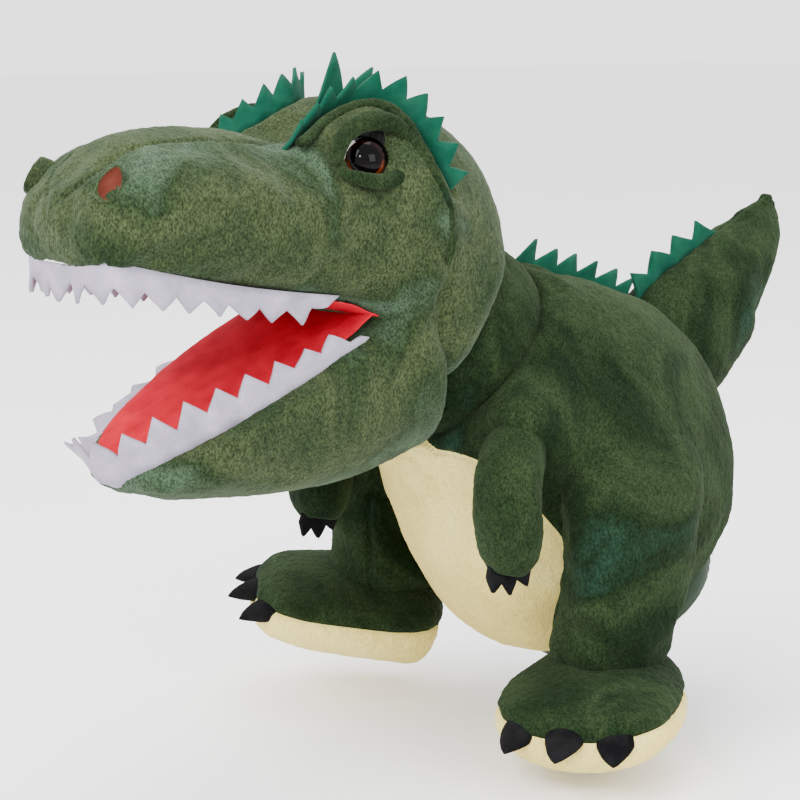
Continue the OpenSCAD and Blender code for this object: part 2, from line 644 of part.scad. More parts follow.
tail_path = smooth([[0, 41, 110], [0, 52, 119], [0, 64, 129], [0, 75, 140], [0, 84, 151], [0, 89, 159], [0, 90.5, 164]], 10);
tail_radii = smooth([[28, 24], [25.5, 23], [21.5, 20], [17, 16], [11.5, 11], [6.5, 6], [2.5, 2.5]], 10);
module tail_cover() color(plush_green) sausage_cover(tail_path, tail_radii, 16);
module tail_stuffing() color(fill_white) sausage(
    [for (i = [0:9]) tail_path[i]],
    [for (i = [0:9]) [for (r = tail_radii[i]) r - plush_t - gap]], 16
);
module tail_spikes() color(felt_green) {
    count = 4;
    side = [for (i = [0:6]) let (t = path_dir(tail_path, i)) [0, -t[2], t[1]]];
    base = evenly([for (i = [0:6]) tail_path[i] + side[i] * (tail_radii[i][0] + gap)], 2 * count);
    out = evenly(side, 2 * count);
    felt_points([for (p = base) p + [felt_t / 2, 0, 0]], [for (v = out) unit(v)], 3, [for (i = base) 12]);
}

torso_left_panel();
torso_right_panel();
belly_panel();
body_stuffing();
sleeve_lining();
hem_band();
care_label();
back_spikes();
neck_sleeve();
head_left_panel();
head_right_panel();
snout_gusset();
snout_stuffing();
crown_stuffing();
finger_pocket();
upper_mouth_board();
upper_mouth_lining();
upper_teeth();
brow_left();
brow_right();
brow_spikes_left();
brow_spikes_right();
crown_spikes();
eye_left();
eye_right();
eye_washers();
eye_patch_left();
eye_patch_right();
nostril_left();
nostril_right();
nostril_linings();
jaw_cover();
jaw_stuffing();
thumb_pocket();
lower_mouth_board();
lower_mouth_lining();
lower_teeth();
arm_left();
arm_right();
arm_stuffing_left();
arm_stuffing_right();
arm_claws_left();
arm_claws_right();
leg_left();
leg_right();
leg_stuffing_left();
leg_stuffing_right();
foot_top_left();
foot_top_right();
foot_sole_left();
foot_sole_right();
foot_stuffing_left();
foot_stuffing_right();
foot_claws_left();
foot_claws_right();
tail_cover();
tail_stuffing();
tail_spikes();
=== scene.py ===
"""Looks of a plush dinosaur mouth puppet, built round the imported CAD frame. Tables are in millimetres."""

import json
import math
from math import cos, pi, radians, sin

import bpy
import numpy as np
from mathutils import Matrix, Vector, noise

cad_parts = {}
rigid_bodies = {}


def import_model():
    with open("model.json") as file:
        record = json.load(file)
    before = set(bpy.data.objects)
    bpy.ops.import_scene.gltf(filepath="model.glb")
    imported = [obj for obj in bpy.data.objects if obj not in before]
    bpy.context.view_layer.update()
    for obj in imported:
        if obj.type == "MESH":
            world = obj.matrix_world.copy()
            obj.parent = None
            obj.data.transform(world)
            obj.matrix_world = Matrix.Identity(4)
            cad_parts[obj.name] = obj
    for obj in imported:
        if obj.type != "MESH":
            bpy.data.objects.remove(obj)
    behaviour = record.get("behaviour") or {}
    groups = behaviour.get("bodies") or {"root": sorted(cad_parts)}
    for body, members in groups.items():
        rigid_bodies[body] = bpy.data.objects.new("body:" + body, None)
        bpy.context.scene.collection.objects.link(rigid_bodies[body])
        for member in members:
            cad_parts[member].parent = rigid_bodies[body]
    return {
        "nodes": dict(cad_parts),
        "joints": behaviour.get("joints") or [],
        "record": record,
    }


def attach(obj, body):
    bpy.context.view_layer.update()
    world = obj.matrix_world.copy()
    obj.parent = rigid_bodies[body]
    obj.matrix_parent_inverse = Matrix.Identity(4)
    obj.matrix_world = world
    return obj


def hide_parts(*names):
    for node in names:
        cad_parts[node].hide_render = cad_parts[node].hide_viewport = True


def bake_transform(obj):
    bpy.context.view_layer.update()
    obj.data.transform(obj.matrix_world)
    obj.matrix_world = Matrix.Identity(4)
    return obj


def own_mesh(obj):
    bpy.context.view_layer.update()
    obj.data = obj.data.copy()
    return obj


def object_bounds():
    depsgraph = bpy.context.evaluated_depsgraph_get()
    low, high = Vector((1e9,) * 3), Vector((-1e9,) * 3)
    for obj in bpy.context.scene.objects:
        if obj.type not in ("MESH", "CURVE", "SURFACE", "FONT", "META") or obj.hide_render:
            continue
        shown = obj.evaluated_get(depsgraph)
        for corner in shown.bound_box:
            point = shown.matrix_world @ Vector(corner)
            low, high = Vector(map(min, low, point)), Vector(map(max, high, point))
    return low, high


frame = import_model()
cad_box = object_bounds()
MM = 0.001
SIDES = ("left", "right")

# ---- Camera ----


def placed(name, data):
    """A new object in the scene."""
    item = bpy.data.objects.new(name, data)
    bpy.context.scene.collection.objects.link(item)
    return item


camera = placed("camera", bpy.data.cameras.new("camera"))
bpy.context.scene.camera = camera
camera.location = (0.7383, -0.6949, 0.2488)
look_at = Vector((0, -0.118, 0.092))
camera.rotation_euler = (look_at - camera.location).to_track_quat("-Z", "Y").to_euler()
camera.data.lens = 106.9
camera.data.sensor_width = 36

# ---- Materials ----


class Recipe:
    """A new material, with short calls that add nodes to it."""

    def __init__(self, name, roughness, specular, sheen=0.0, sheen_tint=(1, 1, 1), coat=0.0):
        self.material = bpy.data.materials.new(name)
        self.material.use_nodes = True
        self.nodes = self.material.node_tree.nodes
        self.shader = self.nodes["Principled BSDF"]
        self.set(self.shader, {
            "Roughness": roughness, "Specular IOR Level": specular,
            "Sheen Weight": sheen, "Sheen Roughness": 0.45, "Sheen Tint": (*sheen_tint, 1),
            "Coat Weight": coat, "Coat Roughness": 0.04,
        })

    def set(self, node, inputs):
        """Gives a node's inputs their values, or joins them to the outputs of other nodes."""
        for socket, value in inputs.items():
            if isinstance(value, bpy.types.NodeSocket):
                self.material.node_tree.links.new(value, node.inputs[socket])
            else:
                node.inputs[socket].default_value = value

    def add(self, kind, output, inputs=None, **settings):
        """Adds a node and gives back one of its outputs."""
        node = self.nodes.new("ShaderNode" + kind)
        for name, value in settings.items():
            setattr(node, name, value)
        self.set(node, inputs or {})
        return node.outputs[output]

    def place(self, scale=(1, 1, 1)):
        return self.add("Mapping", "Vector", {"Scale": scale, "Vector": self.add("TexCoord", "Object")})

    def noise(self, vector, scale, detail=2.0, rough=0.5, distortion=0.0):
        inputs = {"Vector": vector, "Scale": scale, "Detail": detail, "Roughness": rough}
        return self.add("TexNoise", "Fac", inputs | {"Distortion": distortion})

    def ramp(self, value, stops):
        """Stops are pairs of a place and a colour, or a place and a grey level."""
        output = self.add("ValToRGB", "Color", {"Fac": value})
        elements = output.node.color_ramp.elements
        while len(elements) < len(stops):
            elements.new(0.5)
        for element, (place, color) in zip(elements, stops):
            element.position = place
            element.color = (*color, 1) if isinstance(color, tuple) else (color, color, color, 1)
        return output

    def product(self, a, b):
        inputs = {"Factor": 1.0, "A": a, "B": b}
        return self.add("Mix", "Result", inputs, data_type="RGBA", blend_type="MULTIPLY")

    def scaled(self, value, factor, added=0.0):
        return self.add("Math", "Value", {0: value, 1: factor, 2: added}, operation="MULTIPLY_ADD")

    def finish(self, color, bumps=()):
        """Joins the colour and a chain of bumps, each (height, strength, distance), to the shader."""
        self.set(self.shader, {"Base Color": color})
        below = {}
        for height, strength, distance in bumps:
            inputs = {"Height": height, "Strength": strength, "Distance": distance}
            below = {"Normal": self.add("Bump", "Normal", inputs | below)}
        self.set(self.shader, below)
        return self.material


def shaded(color, share):
    return tuple(c * share for c in color)


def plush_material(name, stops, speckle, sheen, sheen_tint, patch_scale=17.0):
    """Short pile: dyed patches, fibre tips paler and darker at random with the paler ones partly a painted
    highlight of tips catching the light, and a nap that leans in streaks.
    """
    recipe = Recipe(name, 0.95, 0.05, sheen, sheen_tint)
    patches = recipe.noise(recipe.place(), patch_scale, 3.0, 0.55, 0.8)
    streaks = recipe.place((1.0, 1.0, 0.62))
    clumps = recipe.noise(streaks, 420.0, 3.0, 0.6)
    tips = recipe.noise(streaks, 1300.0, 2.0, 0.65)
    clump_tone = recipe.ramp(clumps, [(0.3, 1 - speckle), (0.7, 1 + speckle)])
    # Fibre tips: random tone, partly painted highlight where the paler tips stand for pile catching the
    # light
    tip_tone_and_glint = recipe.ramp(tips, [(0.36, 1 - 2.2 * speckle), (0.64, 1 + 2.8 * speckle)])
    color = recipe.product(recipe.product(recipe.ramp(patches, stops), clump_tone), tip_tone_and_glint)
    return recipe.finish(color, [(clumps, 0.55, 0.0009), (tips, 0.8, 0.0006)])


def felt_material(name, color, roughness, sheen):
    """Pressed felt: matted fibres with faint cloudy tone."""
    recipe = Recipe(name, roughness, 0.05, sheen)
    place = recipe.place()
    fibres = recipe.noise(place, 1100.0, 3.0, 0.7)
    pale = tuple(min(1.0, c * 1.12 + 0.005) for c in color)
    tone = recipe.ramp(recipe.noise(place, 120.0, 3.0), [(0.3, shaded(color, 0.82)), (0.7, pale)])
    grain = recipe.ramp(fibres, [(0.3, 0.9), (0.7, 1.06)])
    return recipe.finish(recipe.product(tone, grain), [(fibres, 0.35, 0.0004)])


def woven_material(name, color, thread=0.0006, roughness=0.8):
    """Plain weave: two crossed sets of threads."""
    recipe = Recipe(name, roughness, 0.2, 0.1)
    place = recipe.place()
    inputs = {"Vector": place, "Scale": 0.314 / thread, "Distortion": 0.6}
    threads = [recipe.add("TexWave", "Fac", inputs, bands_direction=direction) for direction in ("X", "Z")]
    tone = recipe.ramp(recipe.noise(place, 90.0, 3.0), [(0.3, shaded(color, 0.85)), (0.7, color)])
    return recipe.finish(tone, [(recipe.product(*threads), 0.3, 0.0003)])


def plain_plastic(name, color, roughness):
    """Moulded plastic with a faint grain."""
    recipe = Recipe(name, roughness, 0.45)
    grain = recipe.noise(recipe.place(), 600.0, 2.0)
    tone = recipe.ramp(grain, [(0.3, shaded(color, 0.94)), (0.7, color)])
    return recipe.finish(tone, [(grain, 0.1, 0.0002)])


def eye_material():
    """A clear domed eye: a black pupil and an amber iris in a black rim, with a painted shadow of the upper
    lid darkening its top.
    """
    recipe = Recipe("eye_plastic", 0.06, 0.02, coat=0.13)
    place = recipe.add("TexCoord", "Object")
    height = recipe.add("SeparateXYZ", "Y", {"Vector": place})
    flat = recipe.add("Mapping", "Vector", {"Vector": place, "Scale": (1, 1, 0)})
    radius = recipe.add("VectorMath", "Value", {0: flat}, operation="LENGTH")
    rings = recipe.ramp(recipe.scaled(radius, 100.0), [
        (0.00, (0.002, 0.001, 0.001)), (0.57, (0.003, 0.002, 0.002)), (0.60, (0.05, 0.009, 0.003)),
        (0.65, (0.13, 0.026, 0.006)), (0.71, (0.06, 0.011, 0.004)), (0.75, (0.010, 0.004, 0.004)),
        (0.95, (0.003, 0.002, 0.002)),
    ])
    shade = recipe.ramp(recipe.noise(place, 900.0), [(0.35, 0.75), (0.65, 1.15)])
    # Painted shadow of the upper lid: the eye's colour fades to near black towards its top
    painted_lid_shadow = recipe.ramp(recipe.scaled(height, 100.0, 0.5), [(0.20, 1.0), (0.55, 0.05)])
    return recipe.finish(recipe.product(recipe.product(rings, shade), painted_lid_shadow))


DARK = (0.0025, 0.007, 0.004)
FOREST = (0.004, 0.010, 0.0034)
MOSS = (0.0125, 0.0225, 0.0085)
OLIVE = (0.028, 0.038, 0.016)
SAGE = (0.032, 0.053, 0.031)
TEAL = (0.008, 0.022, 0.013)

green_plush = plush_material(
    "green_plush",
    [(0.26, DARK), (0.38, FOREST), (0.50, MOSS), (0.60, FOREST), (0.70, TEAL), (0.82, MOSS)],
    0.20, 0.06, (0.6, 0.8, 0.45), 14.0,
)
face_plush = plush_material(
    "face_plush",
    [(0.22, FOREST), (0.36, MOSS), (0.50, OLIVE), (0.60, MOSS), (0.68, SAGE), (0.84, TEAL)],
    0.22, 0.12, (0.65, 0.8, 0.6), 15.0,
)
olive_plush = plush_material(
    "olive_plush", [(0.30, FOREST), (0.50, OLIVE), (0.70, MOSS)], 0.22, 0.12, (0.65, 0.8, 0.6)
)
cream_plush = plush_material(
    "cream_plush",
    [(0.30, (0.55, 0.44, 0.12)), (0.50, (0.65, 0.53, 0.16)), (0.70, (0.71, 0.60, 0.21))],
    0.05, 0.15, (1.0, 0.95, 0.8),
)
black_plush = plush_material("black_plush", [(0.3, 0.004), (0.7, 0.012)], 0.2, 0.1, (0.5, 0.5, 0.5))
green_felt = felt_material("green_felt", (0.0015, 0.052, 0.029), 0.9, 0.04)
white_felt = felt_material("white_felt", (0.30, 0.27, 0.34), 0.85, 0.05)
black_felt = felt_material("black_felt", (0.003, 0.003, 0.0035), 0.95, 0.0)
brown_felt = felt_material("brown_felt", (0.080, 0.016, 0.009), 0.9, 0.02)
red_cloth = felt_material("red_cloth", (0.40, 0.0008, 0.015), 0.8, 0.0)
lining_cloth = woven_material("lining_cloth", (0.70, 0.69, 0.64))
binding_cloth = woven_material("binding_cloth", (0.010, 0.024, 0.010), 0.0008)
label_tape = woven_material("label_tape", (0.80, 0.80, 0.79), 0.0005, 0.45)
washer_plastic = plain_plastic("washer_plastic", (0.78, 0.78, 0.74), 0.5)
board_plastic = plain_plastic("board_plastic", (0.62, 0.62, 0.58), 0.6)
eye_plastic = eye_material()
eye_white = plain_plastic("eye_white", (0.62, 0.54, 0.50), 0.15)

# ---- Curves and lofts ----


def key_curve(keys, u):
    """A point of the smooth curve through the key rows; u runs from 0 to the last row's number."""
    keys = np.asarray(keys, float)
    last = len(keys) - 1
    i = min(int(math.floor(u)), last - 1)
    t = u - i
    a, b, c, d = keys[max(i - 1, 0)], keys[i], keys[i + 1], keys[min(i + 2, last)]
    return 0.5 * (2 * b + (c - a) * t + (2 * a - 5 * b + 4 * c - d) * t**2 + (3 * b - a - 3 * c + d) * t**3)


def smooth_rows(keys, steps):
    return [key_curve(keys, i * (len(keys) - 1) / steps) for i in range(steps + 1)]


def power(v, p):
    return math.copysign(abs(v) ** p, v)


def section_point(row, angle, inset=0.0, box=(2.3, 2.3)):
    """A point of a rounded section: row = x, y, z, tilt, half width, reach up, reach down."""
    a = radians(angle)
    sine, cosine = sin(a), cos(a)
    root = 2 / (box[0] if sine >= 0 else box[1])
    across, over = power(cosine, root), power(sine, root)
    reach = (row[5] if over >= 0 else row[6]) - inset
    tilt = radians(row[3])
    return np.array([
        row[0] + (row[4] - inset) * across,
        row[1] + reach * over * sin(tilt),
        row[2] + reach * over * cos(tilt),
    ])


def mouth_point(ahead, side, over, lean):
    """A point given from the jaw's hinge along the mouth, which leans by an angle from level."""
    a = radians(lean)
    return np.array([
        side,
        HINGE[1] - ahead * cos(a) + over * sin(a),
        HINGE[2] + ahead * sin(a) + over * cos(a),
    ])


def mouth_row(key, lean):
    """A row beside the mouth: key = ahead of the hinge, over the mouth line, tilt, half width, up, down."""
    return np.array([*mouth_point(key[0], 0, key[1], lean), lean + key[2], key[3], key[4], key[5]])


def circle(count):
    """Angles of one turn, in radians."""
    return [2 * pi * k / count for k in range(count)]


def spread(*marks):
    """Angles that pass through each mark: marks are (angle, columns to the next mark)."""
    angles = []
    for (start, count), (end, _) in zip(marks, marks[1:]):
        angles += [start + (end - start) * k / count for k in range(count)]
    return angles


def skin(rings, looped=False):
    """Points and faces of a surface over rings of equal count; open ends are closed round a middle point."""
    n = len(rings[0])
    points = [p for ring in rings for p in ring]
    faces = []
    pairs = len(rings) if looped else len(rings) - 1
    for i in range(pairs):
        j = (i + 1) % len(rings)
        for k in range(n):
            m = (k + 1) % n
            faces.append((i * n + k, i * n + m, j * n + m, j * n + k))
    if not looped:
        first, last = len(points), len(points) + 1
        points += [np.mean(rings[0], axis=0), np.mean(rings[-1], axis=0)]
        top = (len(rings) - 1) * n
        for k in range(n):
            m = (k + 1) % n
            faces.append((m, k, first))
            faces.append((top + k, top + m, last))
    return np.array(points, float), faces


def face_column(face, columns, ring_points):
    """The column of a skin's face, counted on the points of its rings alone."""
    places = [f % columns for f in face if f < ring_points]
    return min(places) if max(places) - min(places) < 3 else columns - 1


def grid(rings, places, columns):
    """Numbers of a skin's points in the given rings and columns."""
    return [ring * columns + place for ring in rings for place in places]


def outward(points, faces):
    """Faces in the order that makes the enclosed volume positive."""
    volume = 0.0
    for face in faces:
        for a, b in zip(face[1:], face[2:]):
            volume += np.dot(points[face[0]], np.cross(points[a], points[b]))
    return faces if volume > 0 else [tuple(reversed(face)) for face in faces]


def piece(name, points, faces, materials, regions=None):
    """A mesh object from points in millimetres; regions give each face's material."""
    mesh = bpy.data.meshes.new(name)
    mesh.from_pydata([tuple(p * MM) for p in np.asarray(points, float)], [], outward(points, faces))
    for material in materials:
        mesh.materials.append(material)
    if regions is not None:
        mesh.polygons.foreach_set("material_index", regions)
    mesh.polygons.foreach_set("use_smooth", [True] * len(mesh.polygons))
    mesh.update()
    return placed(name, mesh)


def coordinates(item):
    co = np.empty(len(item.data.vertices) * 3)
    item.data.vertices.foreach_get("co", co)
    return co.reshape(-1, 3)


def set_coordinates(item, co):
    item.data.vertices.foreach_set("co", co.ravel())
    item.data.update()


def normals(item):
    values = np.empty(len(item.data.vertices) * 3, np.float32)
    item.data.vertex_normals.foreach_get("vector", values)
    return values.reshape(-1, 3).astype(float)


def baked(item):
    """Replaces the mesh with its evaluated one and drops the modifiers."""
    mesh = bpy.data.meshes.new_from_object(item.evaluated_get(bpy.context.evaluated_depsgraph_get()))
    item.modifiers.clear()
    item.data = mesh


def thicken(item, thickness):
    modifier = item.modifiers.new("thickness", "SOLIDIFY")
    modifier.thickness = thickness * MM
    modifier.offset = 0
    baked(item)


def refine(item, levels):
    modifier = item.modifiers.new("subdivide", "SUBSURF")
    modifier.levels = levels
    modifier.render_levels = levels
    baked(item)


# ---- Soft work ----

PUFF_FRAMES = 18
CLOTH = {
    "quality": 4, "mass": 0.2, "use_pressure": True, "uniform_pressure_force": 4.0,
    "vertex_group_mass": "pin", "pin_stiffness": 1.0, "shrink_min": -0.03,
    "tension_stiffness": 12, "compression_stiffness": 12, "shear_stiffness": 4, "bending_stiffness": 0.4,
}
waiting = []


def puff(item, pinned, cap):
    """Queues a cloth simulation: the cloth swells between its pinned seams by at most cap millimetres."""
    group = item.vertex_groups.new(name="pin")
    group.add(sorted(set(pinned)), 1.0, "REPLACE")
    waiting.append((item, coordinates(item), cap * MM))


def run_puffs():
    for item, _, _ in waiting:
        cloth = item.modifiers.new("cloth", "CLOTH")
        for name, value in CLOTH.items():
            setattr(cloth.settings, name, value)
        cloth.settings.effector_weights.gravity = 0
        cloth.collision_settings.use_collision = False
        cloth.point_cache.frame_start = 1
        cloth.point_cache.frame_end = PUFF_FRAMES
    for number in range(1, PUFF_FRAMES + 1):
        bpy.context.scene.frame_set(number)
    for item, start, cap in waiting:
        baked(item)
        moved = coordinates(item) - start
        length = np.linalg.norm(moved, axis=1, keepdims=True)
        set_coordinates(item, start + moved * np.minimum(1, cap / np.maximum(length, 1e-9)))
    bpy.context.scene.frame_set(1)


def dense_line(points, step=1.0):
    """Points in metres, step millimetres apart, along a line of points in metres."""
    points = np.asarray(points, float)
    out = []
    for a, b in zip(points, points[1:]):
        count = max(1, int(np.linalg.norm(b - a) / (step * MM)))
        out += [a + (b - a) * k / count for k in range(count)]
    return np.array(out + [points[-1]])


def nearest(co, line):
    """Distance of each point to the line in millimetres, and the number of its nearest line point."""
    best = np.full(len(co), 1e9)
    index = np.zeros(len(co), int)
    for number, p in enumerate(line):
        d = np.einsum("ij,ij->i", co - p, co - p)
        closer = d < best
        best[closer] = d[closer]
        index[closer] = number
    return np.sqrt(best) / MM, index


def sew(item, line, depth, width, pucker=0.0, pitch=8.0, reach=6.0):
    """Pulls a groove along a line in millimetres, with puckers across it on both sides."""
    line = dense_line(np.asarray(line, float) * MM)
    co = coordinates(item)
    out = normals(item)
    d, index = nearest(co, line)
    push = -depth * np.exp(-((d / width) ** 2))
    if pucker:
        wave = np.sin(index * 2 * pi / pitch + 1.7 * np.sin(index * 0.13))
        push += pucker * wave * np.exp(-((d / reach) ** 2)) * np.clip(d / width, 0, 1)
    set_coordinates(item, co + out * (push * MM)[:, None])


def swell(item, centre, size, push, squash=(1, 1, 1)):
    """Pushes a soft bump of a radius in millimetres; push is a vector or a height along the normal."""
    co = coordinates(item)
    offset = (co / MM - np.asarray(centre, float)) / (size * np.asarray(squash, float))
    weight = np.exp(-np.einsum("ij,ij->i", offset, offset))
    if np.isscalar(push):
        step = normals(item) * push
    else:
        step = np.asarray(push, float)[None, :]
    set_coordinates(item, co + step * (weight * MM)[:, None])


def nap(item, fine=0.16, clump=0.30, wave=0.5, seed=0.0):
    """The pile's own relief: fine tufts, brushed clumps, and slow unevenness of the stuffing."""
    co = coordinates(item)
    out = normals(item)
    shift = Vector((seed, 3.1 * seed, -seed))
    push = np.array([
        fine * noise.noise(p * 1300) + clump * noise.noise(p * 330) + wave * noise.noise(p * 55 + shift)
        for p in (Vector(c) for c in co)
    ])
    set_coordinates(item, co + out * (push * MM)[:, None])


def tube(path, radii, n=12, flat=1.0, up=(0, 0, 1)):
    """Points and faces of a closed tube with rounded ends along a path in millimetres."""
    path = [np.asarray(p, float) for p in path]
    rings = []
    for i, (centre, radius) in enumerate(zip(path, radii)):
        direction = path[min(i + 1, len(path) - 1)] - path[max(i - 1, 0)]
        direction /= np.linalg.norm(direction)
        side = np.cross(direction, np.asarray(up, float))
        side /= np.linalg.norm(side)
        over = np.cross(side, direction)
        rings.append([
            centre + radius * (cos(a) * side + flat * sin(a) * over)
            for a in circle(n)
        ])
    return skin(rings)


def felt_strip(
    name, base, out, heights, foot, thick, material, bend, columns=8, taper=0.5, paired=False
):
    """Cut felt: heights give each spike's tip over the base line and foot the depth between two spikes.

    base and out are lines of points and directions in millimetres, from the strip's start to its end."""
    base = np.asarray(base, float)
    out = np.asarray(out, float)
    lengths = np.concatenate([[0], np.cumsum(np.linalg.norm(np.diff(base, axis=0), axis=1))])
    total = len(heights) * columns

    def along(line, place):
        return np.array([np.interp(place, lengths, line[:, axis]) for axis in range(3)])

    front, faces = [], []
    levels = 4
    for j in range(total + 1):
        place = lengths[-1] * j / total
        p = along(base, place)
        direction = along(out, place)
        direction /= np.linalg.norm(direction)
        face = np.cross(along(base, place + 1) - along(base, place - 1), direction)
        face /= np.linalg.norm(face)
        spike = min(j // columns, len(heights) - 1)
        rise = 1 - abs(2 * (j - spike * columns) / columns - 1)
        end = min(1.0, (min(j, total - j) + 0.02) / (columns * taper)) if taper else 1.0
        nearby = float(np.interp(j / columns - 0.5, range(len(heights)), heights))
        low = foot * nearby / np.mean(heights)
        height = (low + (heights[spike] - low) * rise) * end
        lean = bend * sin(j * 4.2 / columns + 0.6)
        for level in range(levels):
            t = level / (levels - 1)
            front.append((p + direction * height * t + face * lean * t * t, face))
    points = [p + face * thick / 2 for p, face in front] + [p - face * thick / 2 for p, face in front]
    half = len(front)
    for j in range(total):
        for level in range(levels - 1):
            a = j * levels + level
            b = a + levels
            faces.append((a, b, b + 1, a + 1))
            faces.append((half + a, half + a + 1, half + b + 1, half + b))
        bottom, top = j * levels, j * levels + levels - 1
        faces.append((bottom, half + bottom, half + bottom + levels, bottom + levels))
        faces.append((top, top + levels, half + top + levels, half + top))
    for start in (0, total * levels):
        for a in range(start, start + levels - 1):
            quad = (a, a + 1, half + a + 1, half + a)
            faces.append(quad if start == 0 else tuple(reversed(quad)))
    item = piece(f"{name}_left" if paired else name, points, faces, [material])
    strips = [item, other_side(item, f"{name}_right")] if paired else [item]
    return item


# ---- Where the CAD puts things ----

joints = {joint["name"]: joint for joint in frame["joints"]}
HINGE = [v / MM for v in joints["jaw_hinge"]["pos_m"]]
NECK = [v / MM for v in joints["head_nod"]["pos_m"]]
SNOUT_TILT, JAW_TILT = 11, -27

HEAD_KEYS = [
    [-44, 14, 19, 50, 38, 45], [-30, 24, 17, 51.5, 46, 50], [-14, 29, 12, 52, 51, 40],
    [5, 29, 6, 50, 52.5, 30], [22, 28, 2, 47, 44, 28], [40, 26, 0, 45, 33, 26], [60, 24, 0, 43, 33, 24],
    [80, 22, 0, 42, 32, 22], [100, 20, 0, 39, 28, 20], [111, 18, 0, 34, 21, 18], [118, 17, 0, 26, 14, 15],
    [121, 17, 0, 13, 8, 7],
]
HEAD_BOX = (2.3, 3.5)


def head_row(i):
    return mouth_row(key_curve(HEAD_KEYS, i), SNOUT_TILT)


def on_head(i, angle, lift=0.0):
    return section_point(head_row(i), angle, -lift, HEAD_BOX)


def head_frame(i, angle, lift):
    """Middle, outward, backward and upward directions of a place on the head."""
    middle = on_head(i, angle, lift)
    out = on_head(i, angle, 6) - on_head(i, angle, 0)
    back = on_head(i - 0.1, angle) - on_head(i + 0.1, angle)
    out /= np.linalg.norm(out)
    back -= out * np.dot(out, back)
    back /= np.linalg.norm(back)
    up = np.cross(back, out)
    return middle, out, back, up if up[2] > 0 else -up


# ---- Head ----

head_steps = 40
last_key = len(HEAD_KEYS) - 1
gusset_half = 22.0


def gusset_edge(i):
    """Half the angle that the snout's top panel takes; the panel narrows to a line towards the crown."""
    return 1.5 + (gusset_half - 1.5) * min(1, max(0, (i - 4) / 1.5))


def head_angles(i):
    half = gusset_edge(i)
    return spread((-90, 16), (90 - half, 4), (90 + half, 16), (270, 0))


def head_visual_row(i):
    """The head ends low at the cheek, where the jaw's cloth takes over."""
    row = head_row(i)
    key = key_curve(HEAD_KEYS, i)
    if key[0] < 22:
        share = min(1, (22 - key[0]) / 30)
        row[6] += share * (min(row[6], key[1] + 6 + max(0, -key[0]) * 0.55) - row[6])
    return row


head_rings = []
for drop, back in ((20, 15), (9, 11), (2, 5)):
    rim = head_visual_row(0)
    rim[1] += back * cos(radians(30))
    rim[2] -= back * sin(radians(30))
    rim[4:7] -= drop
    head_rings.append([section_point(rim, a, 0, HEAD_BOX) for a in head_angles(0)])
head_places = [last_key * i / head_steps for i in range(head_steps + 1)]
for i in head_places:
    head_rings.append([section_point(head_visual_row(i), a, 0, HEAD_BOX) for a in head_angles(i)])
tip = head_visual_row(last_key)
tip[1] -= 1.6
tip[4:7] *= 0.5
head_rings.append([section_point(tip, a, 0, HEAD_BOX) for a in head_angles(last_key)])
points, faces = skin(head_rings)
columns = len(head_rings[0])
top_start = 3 + head_steps * 4.6 / last_key
regions = []
for face in faces:
    on_top = len(face) == 4 and 16 <= face_column(face, columns, len(points)) < 20
    regions.append(1 if on_top and min(face) // columns > top_start else 0)
head = piece("head_plush", points, faces, [face_plush, olive_plush], regions)
head_pins = grid(range(len(head_rings)), (0, 1, 2, 3, 4, 16, 20, 32, 33, 34, 35), columns)
head_pins += [*range(3 * columns), len(points) - 2, len(points) - 1]
puff(head, head_pins, 3.5)

# Places on the head: (row, angle)
EYE = (3.85, 32.0)
NOSTRIL = (9.3, 42.0)
BROW = [
    [5.1, 54], [4.35, 62], [3.65, 62], [3.2, 53], [2.95, 36], [2.65, 23], [2.35, 14], [2.1, 6], [1.85, -2],
]
CREASE = [[2.35, 14], [1.9, 4], [1.45, -8], [1.05, -22], [0.9, -45]]
FELT_LINE = [[5.15, 62], [4.35, 70], [3.6, 70.5], [3.02, 61], [2.72, 42], [2.42, 27], [2.15, 17]]
brow_lift = 5.0


def both_sides(line):
    line = np.asarray(line, float)
    return [line, line * np.array([-1, 1, 1])]


# ---- Jaw ----

JAW_KEYS = [
    [-27, -6, 0, 46, 14, 10], [-18, -11, 0, 49.5, 20, 26], [-8, -19, 0, 50.5, 24, 46],
    [3, -20, 0, 49, 19, 46], [20, -19, 0, 48.5, 18, 44], [38, -17, 0, 48, 16, 40],
    [60, -15, 0, 45, 14, 31], [79, -14, 0, 39, 13, 22], [95, -13, 0, 30, 11, 14],
    [106, -13, 0, 19, 9, 8], [111, -13, 0, 9, 6, 4],
]
JAW_BOX = (3.5, 2.2)
jaw_steps = 30
jaw_last = len(JAW_KEYS) - 1


def jaw_row(u):
    return mouth_row(key_curve(JAW_KEYS, u), JAW_TILT)


jaw_angles = spread((-90, 12), (90, 12), (270, 0))
jaw_rings = [
    [section_point(jaw_row(jaw_last * i / jaw_steps), a, 0, JAW_BOX) for a in jaw_angles]
    for i in range(jaw_steps + 1)
]
points, faces = skin(jaw_rings)
jaw = piece("jaw_plush", points, faces, [face_plush])
columns = len(jaw_angles)
jaw_pins = grid(range(jaw_steps + 1), range(8, 17), columns)
jaw_pins += [*range(2 * columns), len(points) - 2, len(points) - 1]
puff(jaw, jaw_pins, 3.0)

# ---- Torso ----

TORSO_KEYS = [
    [0, -3.7, 5.2, 55, 44.5, 44.5, 44.5], [0, -8, 12, 61, 52, 54, 60], [0, -16, 24, 60, 58, 66, 65],
    [0, -32, 45, 55, 61, 80, 66], [0, -50, 72, 50, 62, 74, 63], [0, -70, 92, 46, 60, 60, 52],
    [0, -82, 102, 43, 54, 50.5, 47.5], [0, -88, 107, 41, 49, 48, 46.5], [0, -91.5, 110, 41, 45, 44, 43],
]
sleeve_r = 42.2
torso_steps = 26
belly_half = [50, 55, 57, 57, 52, 44, 32, 22, 16]


def belly_edge(u):
    """Half the angle that the belly takes of a section."""
    return float(np.interp(u, range(len(belly_half)), belly_half))


def on_torso(u, angle, inset=0.0):
    return section_point(key_curve(TORSO_KEYS, u), angle, inset)


